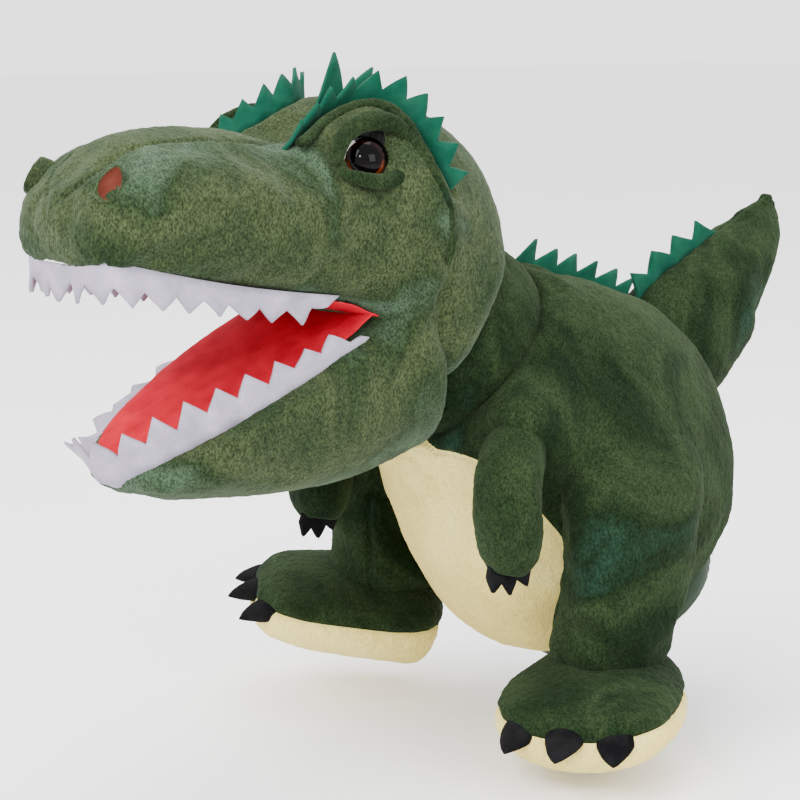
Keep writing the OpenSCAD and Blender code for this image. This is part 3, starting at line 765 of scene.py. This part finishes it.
def torso_line(start, end, count, side=1):
    """Points on the torso between two places, each (row, angle); side -1 puts them on the puppet's right."""
    return [
        on_torso(u, angle if side > 0 else 180 - angle)
        for u, angle in zip(np.linspace(start[0], end[0], count), np.linspace(start[1], end[1], count))
    ]


torso_rings = []
torso_rows = smooth_rows(TORSO_KEYS, torso_steps)
for i, row in enumerate(torso_rows):
    half = belly_edge((len(TORSO_KEYS) - 1) * i / torso_steps)
    angles = spread((-90 - half, 12), (-90 + half, 22), (90, 22), (270 - half, 0))
    torso_rings.append([section_point(row, a) for a in angles])
inner = []
for row in torso_rows[::-4] + [torso_rows[0]]:
    tube_row = [*row[:4], sleeve_r, sleeve_r, sleeve_r]
    angles = spread((-140, 12), (-40, 22), (90, 22), (220, 0))
    inner.append([section_point(tube_row, a, 0, (2, 2)) for a in angles])
points, faces = skin(torso_rings + inner, looped=True)
columns = len(torso_rings[0])
outer_points = (torso_steps + 1) * columns
regions = []
for face in faces:
    if min(face) >= outer_points:
        regions.append(2)
    else:
        regions.append(1 if face_column(face, columns, len(points)) < 12 else 0)
torso = piece("torso_plush", points, faces, [green_plush, cream_plush, lining_cloth], regions)
torso_pins = grid(range(torso_steps + 1), (0, 12, 34), columns)
torso_pins += [*range(2 * columns), *range((torso_steps - 1) * columns, len(points))]
puff(torso, torso_pins, 3.5)

# ---- Neck ----

neck_r = 44
neck_rings = []
for i in range(22):
    a = radians(-80 + 160 * i / 21)
    neck_rings.append([
        neck_r * np.array([cos(a) * cos(b), cos(a) * sin(b), sin(a)])
        for b in circle(48)
    ])
points, faces = skin(neck_rings)
turn = np.array(Matrix.Rotation(radians(48), 3, "X"))
points = points @ turn.T + np.array(NECK)
throat = (34, 35, 36, 37)
regions = [1 if len(face) == 4 and face_column(face, 48, len(points)) in throat else 0 for face in faces]
neck = piece("neck_plush", points, faces, [green_plush, cream_plush], regions)

# ---- Arms ----

ARM_PATH = [
    [36, -78, 88], [44, -88, 84], [51, -98, 79], [57, -106, 72], [60.5, -111, 64], [62, -113, 55],
    [62, -112.5, 47], [61.5, -113, 38], [61, -114, 32],
]
ARM_RADII = [8, 11, 12.5, 13.3, 13.8, 13.6, 13.2, 11.5, 7]
arm_path = smooth_rows(ARM_PATH, 16)
arm_radii = [float(r[0]) for r in smooth_rows([[r] for r in ARM_RADII], 16)]
points, faces = tube(arm_path, arm_radii, 20, 1.0, (0, 1, 0))
arm_left = piece("arm_plush_left", points, faces, [green_plush])
puff(arm_left, grid(range(17), (5, 15), 20) + [*range(60)], 2.0)

# ---- Legs and feet ----

LEG_KEYS = [
    [66.5, -65, -14, 90, 17, 20, 19], [66.5, -65, -5, 90, 21, 25, 23], [68, -64, 5, 90, 21, 26, 24],
    [70, -61, 16, 90, 19, 29, 28], [70, -57, 31, 90, 18, 32.5, 31.5], [67, -53, 48, 90, 19, 35, 34],
    [60, -49, 66, 90, 18, 35, 33], [52, -47, 82, 90, 15, 28, 26], [46, -46, 92, 90, 8, 12, 12],
]
leg_steps = 18
leg_angles = spread((0, 28), (360, 0))
leg_rings = [[section_point(row, a) for a in leg_angles] for row in smooth_rows(LEG_KEYS, leg_steps)]
points, faces = skin(leg_rings)
leg_left = piece("leg_plush_left", points, faces, [green_plush])
leg_pins = grid(range(leg_steps + 1), (18, 7), 28) + [*range(28), *range(28 * (leg_steps - 3), len(points))]
puff(leg_left, leg_pins, 2.5)

FOOT_MID = -24
FOOT_KEYS = [
    [0, 28, FOOT_MID + 1, 0, 10, 9, 11], [0, 22, FOOT_MID + 1, 0, 23, 16, 19],
    [0, 8, FOOT_MID, 0, 31, 19, 19], [0, -14, FOOT_MID, 0, 35, 16.5, 19],
    [0, -32, FOOT_MID - 1, 0, 34.5, 13.5, 18], [0, -45, FOOT_MID - 2, 0, 28, 10, 16],
    [0, -52, FOOT_MID - 4, 0, 15, 6, 9],
]
foot_steps = 20
foot_angles = spread((-188, 14), (8, 14), (172, 0))
foot_rings = [[section_point(row, a) for a in foot_angles] for row in smooth_rows(FOOT_KEYS, foot_steps)]
points, faces = skin(foot_rings)
columns = len(foot_angles)
regions = [1 if face_column(face, columns, columns * (foot_steps + 1)) < 14 else 0 for face in faces]
ankle = [66.5, -66]
splay = np.array(Matrix.Rotation(radians(30), 3, "Z"))


def to_foot(p):
    return np.asarray(p, float) @ splay.T + np.array([ankle[0], ankle[1], 0])


foot_left = piece("foot_plush_left", to_foot(points), faces, [green_plush, cream_plush], regions)
puff(foot_left, grid(range(foot_steps + 1), (0, 14), columns) + [len(points) - 2, len(points) - 1], 2.5)

# ---- Tail ----

TAIL_PATH = [
    [0, 22, 92], [0, 32, 101], [0, 43, 111], [0, 54, 120], [0, 64, 129], [0, 75, 140], [0, 84, 151],
    [0, 89, 159], [0, 90.5, 164],
]
TAIL_RADII = [
    [30, 26], [29.5, 25.5], [28, 24], [25.5, 23], [21.5, 20], [17, 16], [11.5, 11], [6.5, 6], [2.5, 2.5],
]
tail_path = smooth_rows(TAIL_PATH, 20)
tail_radii = smooth_rows(TAIL_RADII, 20)
tail_rings = []
for i, (centre, radius) in enumerate(zip(tail_path, tail_radii)):
    direction = tail_path[min(i + 1, 20)] - tail_path[max(i - 1, 0)]
    direction /= np.linalg.norm(direction)
    over = np.cross([1, 0, 0], direction)
    tail_rings.append([
        centre + radius[1] * cos(a) * np.array([1, 0, 0]) - radius[0] * sin(a) * over
        for a in circle(28)
    ])
points, faces = skin(tail_rings)
tail = piece("tail_plush", points, faces, [green_plush])
puff(tail, grid(range(21), (7, 21), 28) + [*range(28 * 3), len(points) - 1], 2.5)

run_puffs()

# ---- Seams, folds and pile of the plush pieces ----

fine_level = 3


def brow_dome(item, side):
    """Raises the cloth inside each brow arc and steps it down sharply on the crown's side."""
    mirror = np.array([side, 1, 1])
    line = dense_line(np.array([on_head(i, a, 1) for i, a in smooth_rows(BROW, 24)]) * mirror * MM)
    eye = on_head(*EYE) * mirror * MM
    co = coordinates(item)
    d, index = nearest(co, line)
    to_eye = eye - line[index]
    to_eye /= np.linalg.norm(to_eye, axis=1, keepdims=True)
    inside = np.einsum("ij,ij->i", co - line[index], to_eye) > 0
    ends = np.clip(np.minimum(index, len(line) - 1 - index) / 14.0, 0, 1)
    fall = np.where(inside, np.exp(-((d / 19.0) ** 2)), np.exp(-((d / 8.5) ** 2)))
    push = brow_lift * fall * (0.35 + 0.65 * ends)
    set_coordinates(item, co + normals(item) * (push * MM)[:, None])


def corner_folds(item, rays):
    """Short folds that run out from both corners of the mouth; rays are (direction, length)."""
    for side in (1, -1):
        for direction, length in rays:
            a = radians(direction)
            ray = np.array([[49, 1, 0], [50, 1 - length * cos(a), length * sin(a)]])
            sew(item, (ray + [0, HINGE[1], HINGE[2]]) * [side, 1, 1], 0.9, 1.5)


refine(head, fine_level)
for side in (1, -1):
    brow_dome(head, side)
    mirror = np.array([side, 1, 1])
    sew(head, np.array([on_head(i, a, 4) for i, a in smooth_rows(FELT_LINE, 30)]) * mirror, 3.0, 2.4)
    middle, out, back, up = head_frame(*EYE, 2)
    swell(head, (middle + 2.0 * back) * mirror, 10.5, (-out * 6.5) * mirror)
    swell(head, (middle + 14.0 * back + 6.0 * up) * mirror, 8.0, (-out * 4.5) * mirror)
    middle, out, back, up = head_frame(*EYE, 0)
    hollow = [middle + back * b + up * u for b, u in ((3, 9), (9, 8), (14, 4), (17.5, -2), (20, -9))]
    sew(head, np.array(hollow) * mirror, 6.0, 4.0)
swell(head, on_head(4.35, 90), 15, np.array([0, 2, -8.5]), (0.95, 1.15, 1))
for line in both_sides([on_head(i, a) for i, a in smooth_rows(CREASE, 20)]):
    sew(head, line, 3.2, 2.6, 0.35, 11, 8)
for line in both_sides([on_head(i, 90 - gusset_edge(i)) for i in np.linspace(4.6, 10.9, 40)]):
    sew(head, line, 1.1, 1.1, 0.18, 7, 5)
for line in both_sides([on_head(9.25, a) for a in np.linspace(34, -48, 24)]):
    sew(head, line, 0.8, 0.9, 0.12, 6, 4)
corner_folds(head, ((95, 16), (125, 22), (60, 14), (150, 17)))
nap(head)

refine(jaw, fine_level)
corner_folds(jaw, ((-80, 15), (-50, 18), (-115, 20)))
sew(jaw, [section_point(jaw_row(u), -90, 0, JAW_BOX) for u in np.linspace(1, 9.8, 30)], 0.9, 1.1, 0.2, 8, 5)
nap(jaw, seed=2)

refine(torso, fine_level)
for side in (1, -1):
    swell(torso, (side * 60, -50, 62), 30, (side * 11, 0, -2))
    swell(torso, (side * 52, -94, 86), 17, (side * 9, -9, 3))
for side in (1, -1):
    edge = [on_torso(u, -90 + side * belly_edge(u)) for u in np.linspace(0.1, 7.8, 40)]
    sew(torso, edge, 1.3, 1.3, 0.35, 10, 7)
sew(torso, torso_line((0.3, 90), (7.6, 90), 40), 1.0, 1.2, 0.25, 9, 6)
for side in (1, -1):
    sew(torso, torso_line((7.4, -87), (5.0, -81), 10, side), 2.0, 3.5)
for start, end in (((5.9, 20), (4.6, 8)), ((3.2, 70), (2.0, 48))):
    for side in (1, -1):
        sew(torso, torso_line(start, end, 12, side), 1.6, 5.0)
nap(torso, wave=0.9, seed=5)

refine(neck, 2)
neck_seam = [[0, NECK[1] + neck_r * cos(a), NECK[2] + neck_r * sin(a)] for a in np.linspace(0.2, 2.4, 20)]
sew(neck, neck_seam, 0.8, 1.3, 0.2, 8, 5)
nap(neck, wave=0.9, seed=7)

refine(arm_left, 2)
nap(arm_left, wave=0.7, seed=9)
refine(leg_left, fine_level)
sew(leg_left, [ring[18] for ring in leg_rings[:leg_steps - 4]], 1.6, 1.4, 0.35, 10, 7)
nap(leg_left, wave=0.9, seed=11)
refine(foot_left, fine_level)
for column in (0, 14):
    sew(foot_left, [to_foot(ring[column]) for ring in foot_rings[1:foot_steps]], 1.2, 1.2, 0.3, 8, 6)
nap(foot_left, wave=0.6, seed=13)
refine(tail, 2)
for column in (7, 21):
    sew(tail, [ring[column] for ring in tail_rings[1:20]], 0.9, 1.2, 0.25, 8, 5)
nap(tail, wave=0.7, seed=17)

# ---- The right-hand limbs ----



def about(point, degrees, axis):
    """A turn about a point."""
    move = Matrix.Translation(point)
    return move @ Matrix.Rotation(radians(degrees), 4, axis) @ move.inverted()


MIRROR = Matrix.Scale(-1, 4, (1, 0, 0))
forward_swing = Matrix.Translation((-0.0025, 0, 0.006)) @ about((0, -0.048, 0.058), -7, "X")
foot_hang = forward_swing @ about((-0.0665, -0.066, -0.0085), 16, "Y")


def other_side(item, name, place=Matrix.Identity(4)):
    """A mirrored copy for the puppet's right side; the right leg and foot also hang at their own angle."""
    mesh = item.data.copy()
    mesh.transform(place @ MIRROR)
    mesh.flip_normals()
    return placed(name, mesh)


other_side(arm_left, "arm_plush_right")
other_side(leg_left, "leg_plush_right", forward_swing)
other_side(foot_left, "foot_plush_right", foot_hang)

# ---- Brow rolls, eyelids, eyes and nostrils ----

brow_points = [on_head(i, a, 5.2) for i, a in smooth_rows(BROW, 30)]
roll_r = [0.8 + 2.2 * sin(pi * min(1, (0.06 + 0.94 * i / 30))) ** 0.35 for i in range(31)]
points, faces = tube(brow_points, roll_r, 12, 0.9)
brow_left = piece("brow_plush_left", points, faces, [green_plush])
refine(brow_left, 2)
nap(brow_left, wave=0.4, seed=19)
other_side(brow_left, "brow_plush_right")

eye_middle, eye_out, eye_back, eye_up = head_frame(*EYE, 2.0)


def at_eye(back, up, lift):
    return eye_middle + eye_back * back + eye_up * up + eye_out * lift


# Points round the eye: backwards, upwards, outwards
UPPER_LID = [
    [-15, -1, -1.5], [-12.5, 5.0, 0.4], [-7, 10.6, 2.6], [3, 13.4, 5], [12, 11, 7], [18, 5, 7],
    [21.5, -2.5, 5.5], [23.5, -11, 1],
]
LOWER_LID = [
    [-15.5, -2.5, -1.5], [-9.5, -7.6, 0.6], [0, -10.4, 1.8], [8, -9.6, 2.6], [14, -8.6, 3.2], [21, -11, 1.5],
]
# The black patch's lower edge, along the hollow under the upper lid down to its back corner; the black there
# is painted shadow of the lid
LID_SHADOW_EDGE = [[-13, -1, 0], [-6, -2, -1], [4, 1, -1.5], [11, 4, -1], [16, -1, 0], [22, -9.5, 0]]


# How far the black patch stands out along the eye: it rises at the back so that its painted shadow shows
# over the head plush
def patch_and_shadow_lift(back):
    return np.interp(back, [-14, 3, 11, 22], [-6, -3, 3.4, 5.0])


def lids(name, places, radius):
    path = [at_eye(*p) for p in smooth_rows(places, 16)]
    radii = [radius * (0.35 + 0.65 * sin(pi * i / 16) ** 0.6) for i in range(17)]
    points, faces = tube(path, radii, 10, 0.8, tuple(eye_out))
    # The lids take the darker body plush, not the face plush: painted shade under the brow
    item = piece(f"{name}_left", points, faces, [green_plush])
    refine(item, 2)
    nap(item, wave=0.2, seed=23)
    other_side(item, f"{name}_right")


lids("upper_lid", UPPER_LID, 4.2)
lids("lower_lid", LOWER_LID, 3.6)

# The real black eye patch, stretched and lifted at the back so that it also paints the shadow under the
# upper lid
patch_and_shadow_ring = [at_eye(p[0] * 0.96, p[1] * 0.96, patch_and_shadow_lift(p[0])) for p in smooth_rows(UPPER_LID, 14)]
patch_and_shadow_ring += [at_eye(p[0], p[1], patch_and_shadow_lift(p[0])) for p in smooth_rows(LID_SHADOW_EDGE, 14)[::-1]]
centre = np.mean(patch_and_shadow_ring, axis=0)
patch_and_shadow_rings = [[centre + (p - centre) * s - eye_out * d for p in patch_and_shadow_ring]
               for s, d in ((1.0, 3.4), (1.0, 0.4), (0.85, 0.2), (0.5, 0.4), (0.15, 0.5))]
points, faces = skin(patch_and_shadow_rings)
patch_and_shadow_left = piece("eye_patch_felt_left", points, faces, [black_plush])
other_side(patch_and_shadow_left, "eye_patch_felt_right")


eye_r = 9.6


def eyeball(name, side):
    """A domed plastic eye that looks a little backwards, so that its white shows at the front corner."""
    mirror = Matrix.Scale(-1, 3, (1, 0, 0)) if side < 0 else Matrix.Identity(3)
    gaze = mirror @ Vector((0.85, -0.51, 0.14)).normalized()
    centre = mirror @ Vector(at_eye(2.3, 1.6, -4.4)) * MM
    rings = []
    for i in range(1, 20):
        a = radians(170 * i / 20)
        rings.append([
            eye_r * np.array([sin(a) * cos(b), sin(a) * sin(b), 0.92 * cos(a)])
            for b in circle(40)
        ])
    points, faces = skin(rings)
    middles = [points[list(face)].mean(axis=0) for face in faces]
    regions = [1 if math.hypot(m[0], m[1]) > 7.3 and side * m[0] < -3.5 else 0 for m in middles]
    item = piece(name, points, faces, [eye_plastic, eye_white], regions)
    refine(item, 1)
    item.matrix_world = Matrix.Translation(centre) @ gaze.to_track_quat("Z", "Y").to_matrix().to_4x4()


eyeball("eye_dome_left", 1)
eyeball("eye_dome_right", -1)

nose_middle, nose_out, nose_back, nose_up = head_frame(*NOSTRIL, 0.0)
nose_out = 0.5 * nose_out + np.array([0.55, -0.75, 0.05])
nose_out /= np.linalg.norm(nose_out)
nose_long = np.array([0, 0.50, 0.86])
nose_long -= nose_out * np.dot(nose_out, nose_long)
nose_long /= np.linalg.norm(nose_long)
nose_wide = np.cross(nose_out, nose_long)
# Each ring of a nostril: its size, and how far it stands off the snout
NOSTRIL_RINGS = [
    (0.95, -8), (1.02, -4), (1.08, 0), (1.08, 2.8), (0.98, 3.8), (0.86, 3.4), (0.74, 2.0), (0.35, 1.8),
]
nostril_rings = []
for size, lift in NOSTRIL_RINGS:
    ring = []
    for a in circle(24):
        narrow = 4.2 * (1 - 0.30 * cos(a))
        oval = 7.2 * cos(a) * nose_long + narrow * sin(a) * nose_wide
        ring.append(nose_middle + size * oval + lift * nose_out)
    nostril_rings.append(ring)
points, faces = skin(nostril_rings)
regions = [0 if max(face) < 6 * 24 else 1 for face in faces]
# The end caps come last, turn by turn: the hidden one is plush and the bowl's floor is felt
regions[-48:] = [0, 1] * 24
nostril_left = piece("nostril_plush_left", points, faces, [olive_plush, brown_felt], regions)
refine(nostril_left, 2)
nap(nostril_left, fine=0.12, clump=0.2, wave=0.2, seed=29)
other_side(nostril_left, "nostril_plush_right")

# ---- Felt spikes ----

spike_places = smooth_rows(FELT_LINE, 40)
spike_base = [on_head(i, a, -1.0) for i, a in spike_places]
spike_out = [on_head(i, a, 12) - on_head(i, a, 0) for i, a in spike_places]
spike_heights = [12, 14, 15, 16, 17, 17, 17, 17, 16, 16]
felt_strip("brow_felt", spike_base, spike_out, spike_heights, 8.5, 1.6, green_felt, 0.8, paired=True)

crown_places = np.linspace(3.75, 2.55, 12)
crown_line = [on_head(i, 90, -3) for i in crown_places]
crown_lean = np.linspace(-1.5, 2.5, 12)
crown_out = [on_head(i, 90, 6) - on_head(i, 90) + [0, lean, 0] for i, lean in zip(crown_places, crown_lean)]
felt_strip("crown_felt", crown_line, crown_out, [21, 16], 3.5, 1.8, green_felt, 0.5, 10)

ridge_places = np.linspace(7.6, 4.05, 20)
ridge = [on_torso(u, 90, 2) for u in ridge_places]
ridge_out = [on_torso(u, 90, -8) - on_torso(u, 90) for u in ridge_places]
felt_strip("back_felt", ridge, ridge_out, [15] * 6, 6, 1.8, green_felt, 0.6)

tail_line, tail_out = [], []
for i in range(2, 13):
    direction = tail_path[i + 1] - tail_path[i - 1]
    direction /= np.linalg.norm(direction)
    over = -np.cross([1, 0, 0], direction)
    over = over if over[2] > 0 or over[1] < 0 else -over
    tail_line.append(tail_path[i] + over * (tail_radii[i][0] - 2))
    tail_out.append(over)
felt_strip("tail_felt", tail_line, tail_out, [14, 14, 13, 13], 6, 1.8, green_felt, 0.6)

claw_line = [[61 + 0.2 * k, -122.5 + 3.0 * k, 33.5 + 0.30 * (k - 3) ** 2] for k in range(7)]
claw_out = [[0.15, (k - 3) * 0.10, -1.0] for k in range(7)]
felt_strip(
    "arm_claw_felt", claw_line, claw_out, [9.5, 10, 9], 4.5, 2.0, black_felt, 0.3, taper=0,
    paired=True,
)

# ---- Teeth ----


def lip(rows, angle, box, lift):
    side = [section_point(row, angle, 0.6, box) + np.asarray(lift, float) for row in rows]
    other = [p * np.array([-1, 1, 1]) for p in side[::-1]]
    return side + other


def stand(lean):
    a = radians(lean)
    return np.array([0, sin(a), cos(a)])


upper_rows = [head_row(i) for i in np.linspace(3.75, last_key, 30)]
upper_line = lip(upper_rows, -46, HEAD_BOX, stand(SNOUT_TILT) * 1.5)
for p in upper_line:
    over = np.dot(p - np.array(HINGE), stand(SNOUT_TILT))
    p -= stand(SNOUT_TILT) * max(0, over - 5.0)
    p[1] += max(0, HINGE[1] - 110 - p[1]) * 0.55
    p -= stand(SNOUT_TILT) * 2.2 * sin(pi * min(1, max(0, (HINGE[1] - 12 - p[1]) / 100)))
upper_out = [[0.10 * p[0] / 40, 0.05, -1.0] for p in upper_line]
heights = [12.0 + 6.5 * math.exp(-(((k - 10) / 3.6) ** 2)) for k in range(21)]
upper_teeth = felt_strip("upper_teeth_felt", upper_line, upper_out, heights, 8, 1.5, white_felt, 1.3, 8, 1.3)

lower_line = lip([jaw_row(u) for u in np.linspace(3.1, jaw_last, 30)], 44, JAW_BOX, -stand(JAW_TILT) * 1.5)
lower_out = []
for k, p in enumerate(lower_line):
    far = min(1, max(0, (k / (len(lower_line) - 1) - 0.46) * 5))
    lower_out.append(stand(JAW_TILT) * (1 - 1.15 * far) + [0.08 * p[0] / 45 - far, 0, 0])
heights = [9 + 10 * min(1, 3.4 * min(k + 0.5, 19.5 - k) / 20) for k in range(20)]
lower_teeth = felt_strip(
    "lower_teeth_felt", lower_line, lower_out, heights, 9, 1.5, white_felt, 1.0, 8, 1.3
)

# ---- The mouth's red lining, in one sheet over both boards ----


def mouth_half(keys, ahead, box, angle):
    k = key_curve(keys, float(np.interp(ahead, [key[0] for key in keys], range(len(keys)))))
    corner = max(0.0, 1 - ahead / 26) * 3.0
    return max(2.0, (k[3] - 1.5 - corner) * cos(radians(angle)) ** (2 / box))


mouth_rows = []
for ahead in np.linspace(114, 4, 26):
    mouth_rows.append((ahead, SNOUT_TILT, -1.1, mouth_half(HEAD_KEYS, ahead, HEAD_BOX[1], 46)))
mouth_rows += [(-3, SNOUT_TILT, -1.4, 40), (-7, -8, -0.5, 38), (-3, JAW_TILT, 1.4, 40)]
for ahead in np.linspace(4, 108, 24):
    mouth_rows.append((ahead, JAW_TILT, 1.0, mouth_half(JAW_KEYS, ahead, JAW_BOX[0], 44)))
across = 14
# How far the lining sags between the lips, and how far its edge tucks in behind the teeth
DISH = {SNOUT_TILT: -0.9, JAW_TILT: 1.08}
TUCK = {SNOUT_TILT: 3.5, JAW_TILT: -2.5}
points, faces = [], []
for ahead, lean, over, half in mouth_rows:
    for x in np.linspace(-1, 1, across + 1):
        dish = DISH.get(lean, 0) * (1 - x**4) * min(1, max(0, ahead) / 30)
        tuck = TUCK.get(lean, 0) * x**6 * min(1, max(0, ahead) / 10)
        rounding = 3.5 * x * x if ahead > 60 else 0
        points.append(mouth_point(ahead - rounding, half * x, over - dish + tuck, lean))
for i in range(len(mouth_rows) - 1):
    for j in range(across):
        a = i * (across + 1) + j
        faces.append((a, a + 1, a + across + 2, a + across + 1))
mouth_cloth = piece("mouth_cloth", points, faces, [red_cloth])
thicken(mouth_cloth, 0.8)
refine(mouth_cloth, 2)
nap(mouth_cloth, fine=0.04, clump=0.1, wave=0.35, seed=31)

# ---- Claws of the feet ----


def toe_claw(toe, place, yaw):
    """A stuffed felt claw that droops from the toe seam to a blunt point, on both feet."""
    rings = []
    for i in range(9):
        t = i / 8
        wide = 8.6 * (1 - t**2.2) ** 0.75 + 0.3
        tall = 5.6 * (1 - t**2.0) ** 0.8 + 0.3
        centre = np.array([0, 5 - 20 * t, -1.5 - 7.5 * t**1.6])
        lean = radians(18 + 42 * t)
        over = np.array([0, -sin(lean), cos(lean)])
        rings.append([
            centre + wide * cos(a) * np.array([1, 0, 0]) + tall * sin(a) * over
            for a in circle(16)
        ])
    points, faces = skin(rings)
    points = points @ np.array(Matrix.Rotation(radians(yaw), 3, "Z")).T + np.asarray(place, float)
    item = piece(f"toe_claw_{toe}_left", to_foot(points), faces, [black_felt])
    refine(item, 2)
    nap(item, fine=0.05, clump=0.15, wave=0.3, seed=37)
    other_side(item, f"toe_claw_{toe}_right", foot_hang)


claw_height = FOOT_MID - 0.5
CLAWS = {
    "inner": ([-18, -45, claw_height], -14),
    "middle": ([0, -49, claw_height], 0),
    "outer": ([18, -45, claw_height], 14),
}
for toe, (place, yaw) in CLAWS.items():
    toe_claw(toe, place, yaw)

# ---- Hem binding and label at the hand opening ----

opening = frame["record"]["mounts"][0]
hem_axis = np.array(opening["axis"], float)
hem_side = np.array([1.0, 0, 0])
hem_up = np.cross(hem_side, hem_axis)
hem_rings = []
for a in circle(72):
    radial = cos(a) * hem_side + sin(a) * hem_up
    ripple = 0.35 * sin(9 * a) + 0.2 * sin(17 * a + 1)
    hem_rings.append([
        radial * (42.9 + ripple * 0.4 + 1.7 * cos(b)) + hem_axis * (6.2 * sin(b) + 0.2 * ripple)
        for b in circle(12)
    ])
points, faces = skin(hem_rings, looped=True)
hem = piece("hem_binding", points, faces, [binding_cloth])
refine(hem, 1)
for offset in (-4.2, 4.2):
    ring = [
        44.4 * (cos(a) * hem_side + sin(a) * hem_up) + hem_axis * offset
        for a in np.linspace(0, 2 * pi, 60)
    ]
    sew(hem, ring, 0.5, 0.7, 0.25, 4, 2)

label_points, label_faces = [], []
for i in range(9):
    t = i / 8
    for j in range(5):
        x = -8 + 4 * j
        curl = 2.2 * t * t + 0.25 * sin(j * 1.4)
        label_points.append(hem_side * x + hem_up * (45.5 + curl) + hem_axis * (5 + 23 * t))
for i in range(8):
    for j in range(4):
        a = i * 5 + j
        label_faces.append((a, a + 1, a + 6, a + 5))
label = piece("blank_label", np.array(label_points), label_faces, [label_tape])
thicken(label, 0.5)
refine(label, 1)

# ---- What each piece follows and stands for ----

# {} is each side in turn. A piece with no body here stays unattached.
PIECES = {
    "head_plush": (
        "head", "green_plush", "head_left_panel head_right_panel snout_gusset snout_stuffing crown_stuffing"
    ),
    "jaw_plush": (None, "green_plush", "jaw_cover jaw_stuffing"),
    "torso_plush": (
        "torso", "green_plush", "torso_left_panel torso_right_panel belly_panel body_stuffing sleeve_lining"
    ),
    "neck_plush": ("neck", "green_plush", "neck_sleeve"),
    "arm_plush_{}": (None, "green_plush", "arm_{} arm_stuffing_{}"),
    "leg_plush_{}": (None, "green_plush", "leg_{} leg_stuffing_{}"),
    "foot_plush_{}": ("{}_foot", "green_plush", "foot_top_{} foot_sole_{} foot_stuffing_{}"),
    "tail_plush": (None, "green_plush", "tail_cover tail_stuffing"),
    "brow_plush_{}": ("head", "green_plush", "brow_{}"),
    "upper_lid_{}": ("head", "green_plush", ""),
    "lower_lid_{}": ("head", "green_plush", ""),
    "eye_patch_felt_{}": ("head", "black_plush", "eye_patch_{}"),
    "eye_dome_{}": ("head", "eye_plastic", "eye_{}"),
    "nostril_plush_{}": ("head", "olive_plush", "nostril_{}"),
    "crown_felt": ("head", "green_felt", "crown_spikes"),
    "brow_felt_{}": ("head", "green_felt", "brow_spikes_{}"),
    "back_felt": ("torso", "green_felt", "back_spikes"),
    "tail_felt": ("tail", "green_felt", "tail_spikes"),
    "upper_teeth_felt": ("head", "white_felt", "upper_teeth"),
    "lower_teeth_felt": ("jaw", "white_felt", "lower_teeth"),
    "mouth_cloth": (None, "red_cloth", "upper_mouth_lining lower_mouth_lining"),
    "arm_claw_felt_{}": ("{}_arm", "black_felt", "arm_claws_{}"),
    "toe_claw_inner_{}": ("{}_foot", "black_felt", "foot_claws_{}"),
    "toe_claw_middle_{}": ("{}_foot", "black_felt", ""),
    "toe_claw_outer_{}": ("{}_foot", "black_felt", ""),
    "hem_binding": ("torso", "binding", "hem_band"),
    "blank_label": ("torso", "label_tape", "care_label"),
}


def found(pattern):
    """The pieces of a name, each with its side."""
    sides = SIDES if "{}" in pattern else ("",)
    return [(bpy.data.objects[pattern.replace("{}", side)], side) for side in sides]


for pattern, (body, slot, nodes) in PIECES.items():
    for item, side in found(pattern):
        if body:
            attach(item, body.replace("{}", side))
        if nodes:
            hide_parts(*nodes.replace("{}", side).split())
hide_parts("nostril_linings")


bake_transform(jaw)
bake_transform(mouth_cloth)
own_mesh(upper_teeth)
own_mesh(lower_teeth)
for arm, side in found("arm_plush_{}"):
    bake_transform(arm)
for leg, side in found("leg_plush_{}"):
    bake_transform(leg)
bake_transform(tail)

# ---- CAD parts that stay, inside the head and jaw ----

KEPT = {
    "finger_pocket": lining_cloth, "thumb_pocket": lining_cloth, "upper_mouth_board": board_plastic,
    "lower_mouth_board": board_plastic, "eye_washers": washer_plastic,
}
for name, material in KEPT.items():
    mesh = frame["nodes"][name].data
    mesh.materials.clear()
    mesh.materials.append(material)

# ---- Floor and light ----

floor_mesh = bpy.data.meshes.new("floor")
floor_z = cad_box[0][2] - 0.004
corners = [(x, y, floor_z) for x, y in ((-8, -8), (8, -8), (8, 8), (-8, 8))]
floor_mesh.from_pydata(corners, [], [(0, 1, 2, 3)])
paper = Recipe("floor_paper", 0.9, 0.1)
tone = paper.ramp(paper.noise(paper.place(), 3.0), [(0.0, 0.90), (1.0, 0.94)])
floor_mesh.materials.append(paper.finish(tone))
placed("floor", floor_mesh)

world = bpy.data.worlds.new("studio")
bpy.context.scene.world = world
world.use_nodes = True
background = world.node_tree.nodes["Background"]
background.inputs["Color"].default_value = (1.0, 1.0, 1.0, 1)
background.inputs["Strength"].default_value = 2.4


def softbox(name, place, aim, size, watts):
    lamp = placed(name, bpy.data.lights.new(name, "AREA"))
    lamp.data.energy = watts
    lamp.data.size = size
    lamp.location = place
    lamp.rotation_euler = (Vector(aim) - Vector(place)).to_track_quat("-Z", "Y").to_euler()


softbox("key", (0.2, -1.5, 1.3), (0, -0.12, 0.1), 0.9, 36)
softbox("fill", (1.6, -0.1, 0.7), (0, -0.08, 0.08), 0.8, 15)
softbox("top", (-0.2, 0.1, 1.6), (0, -0.05, 0.1), 1.0, 22)
softbox("window", (0.75, -1.05, 0.75), (0, -0.12, 0.15), 0.13, 6)
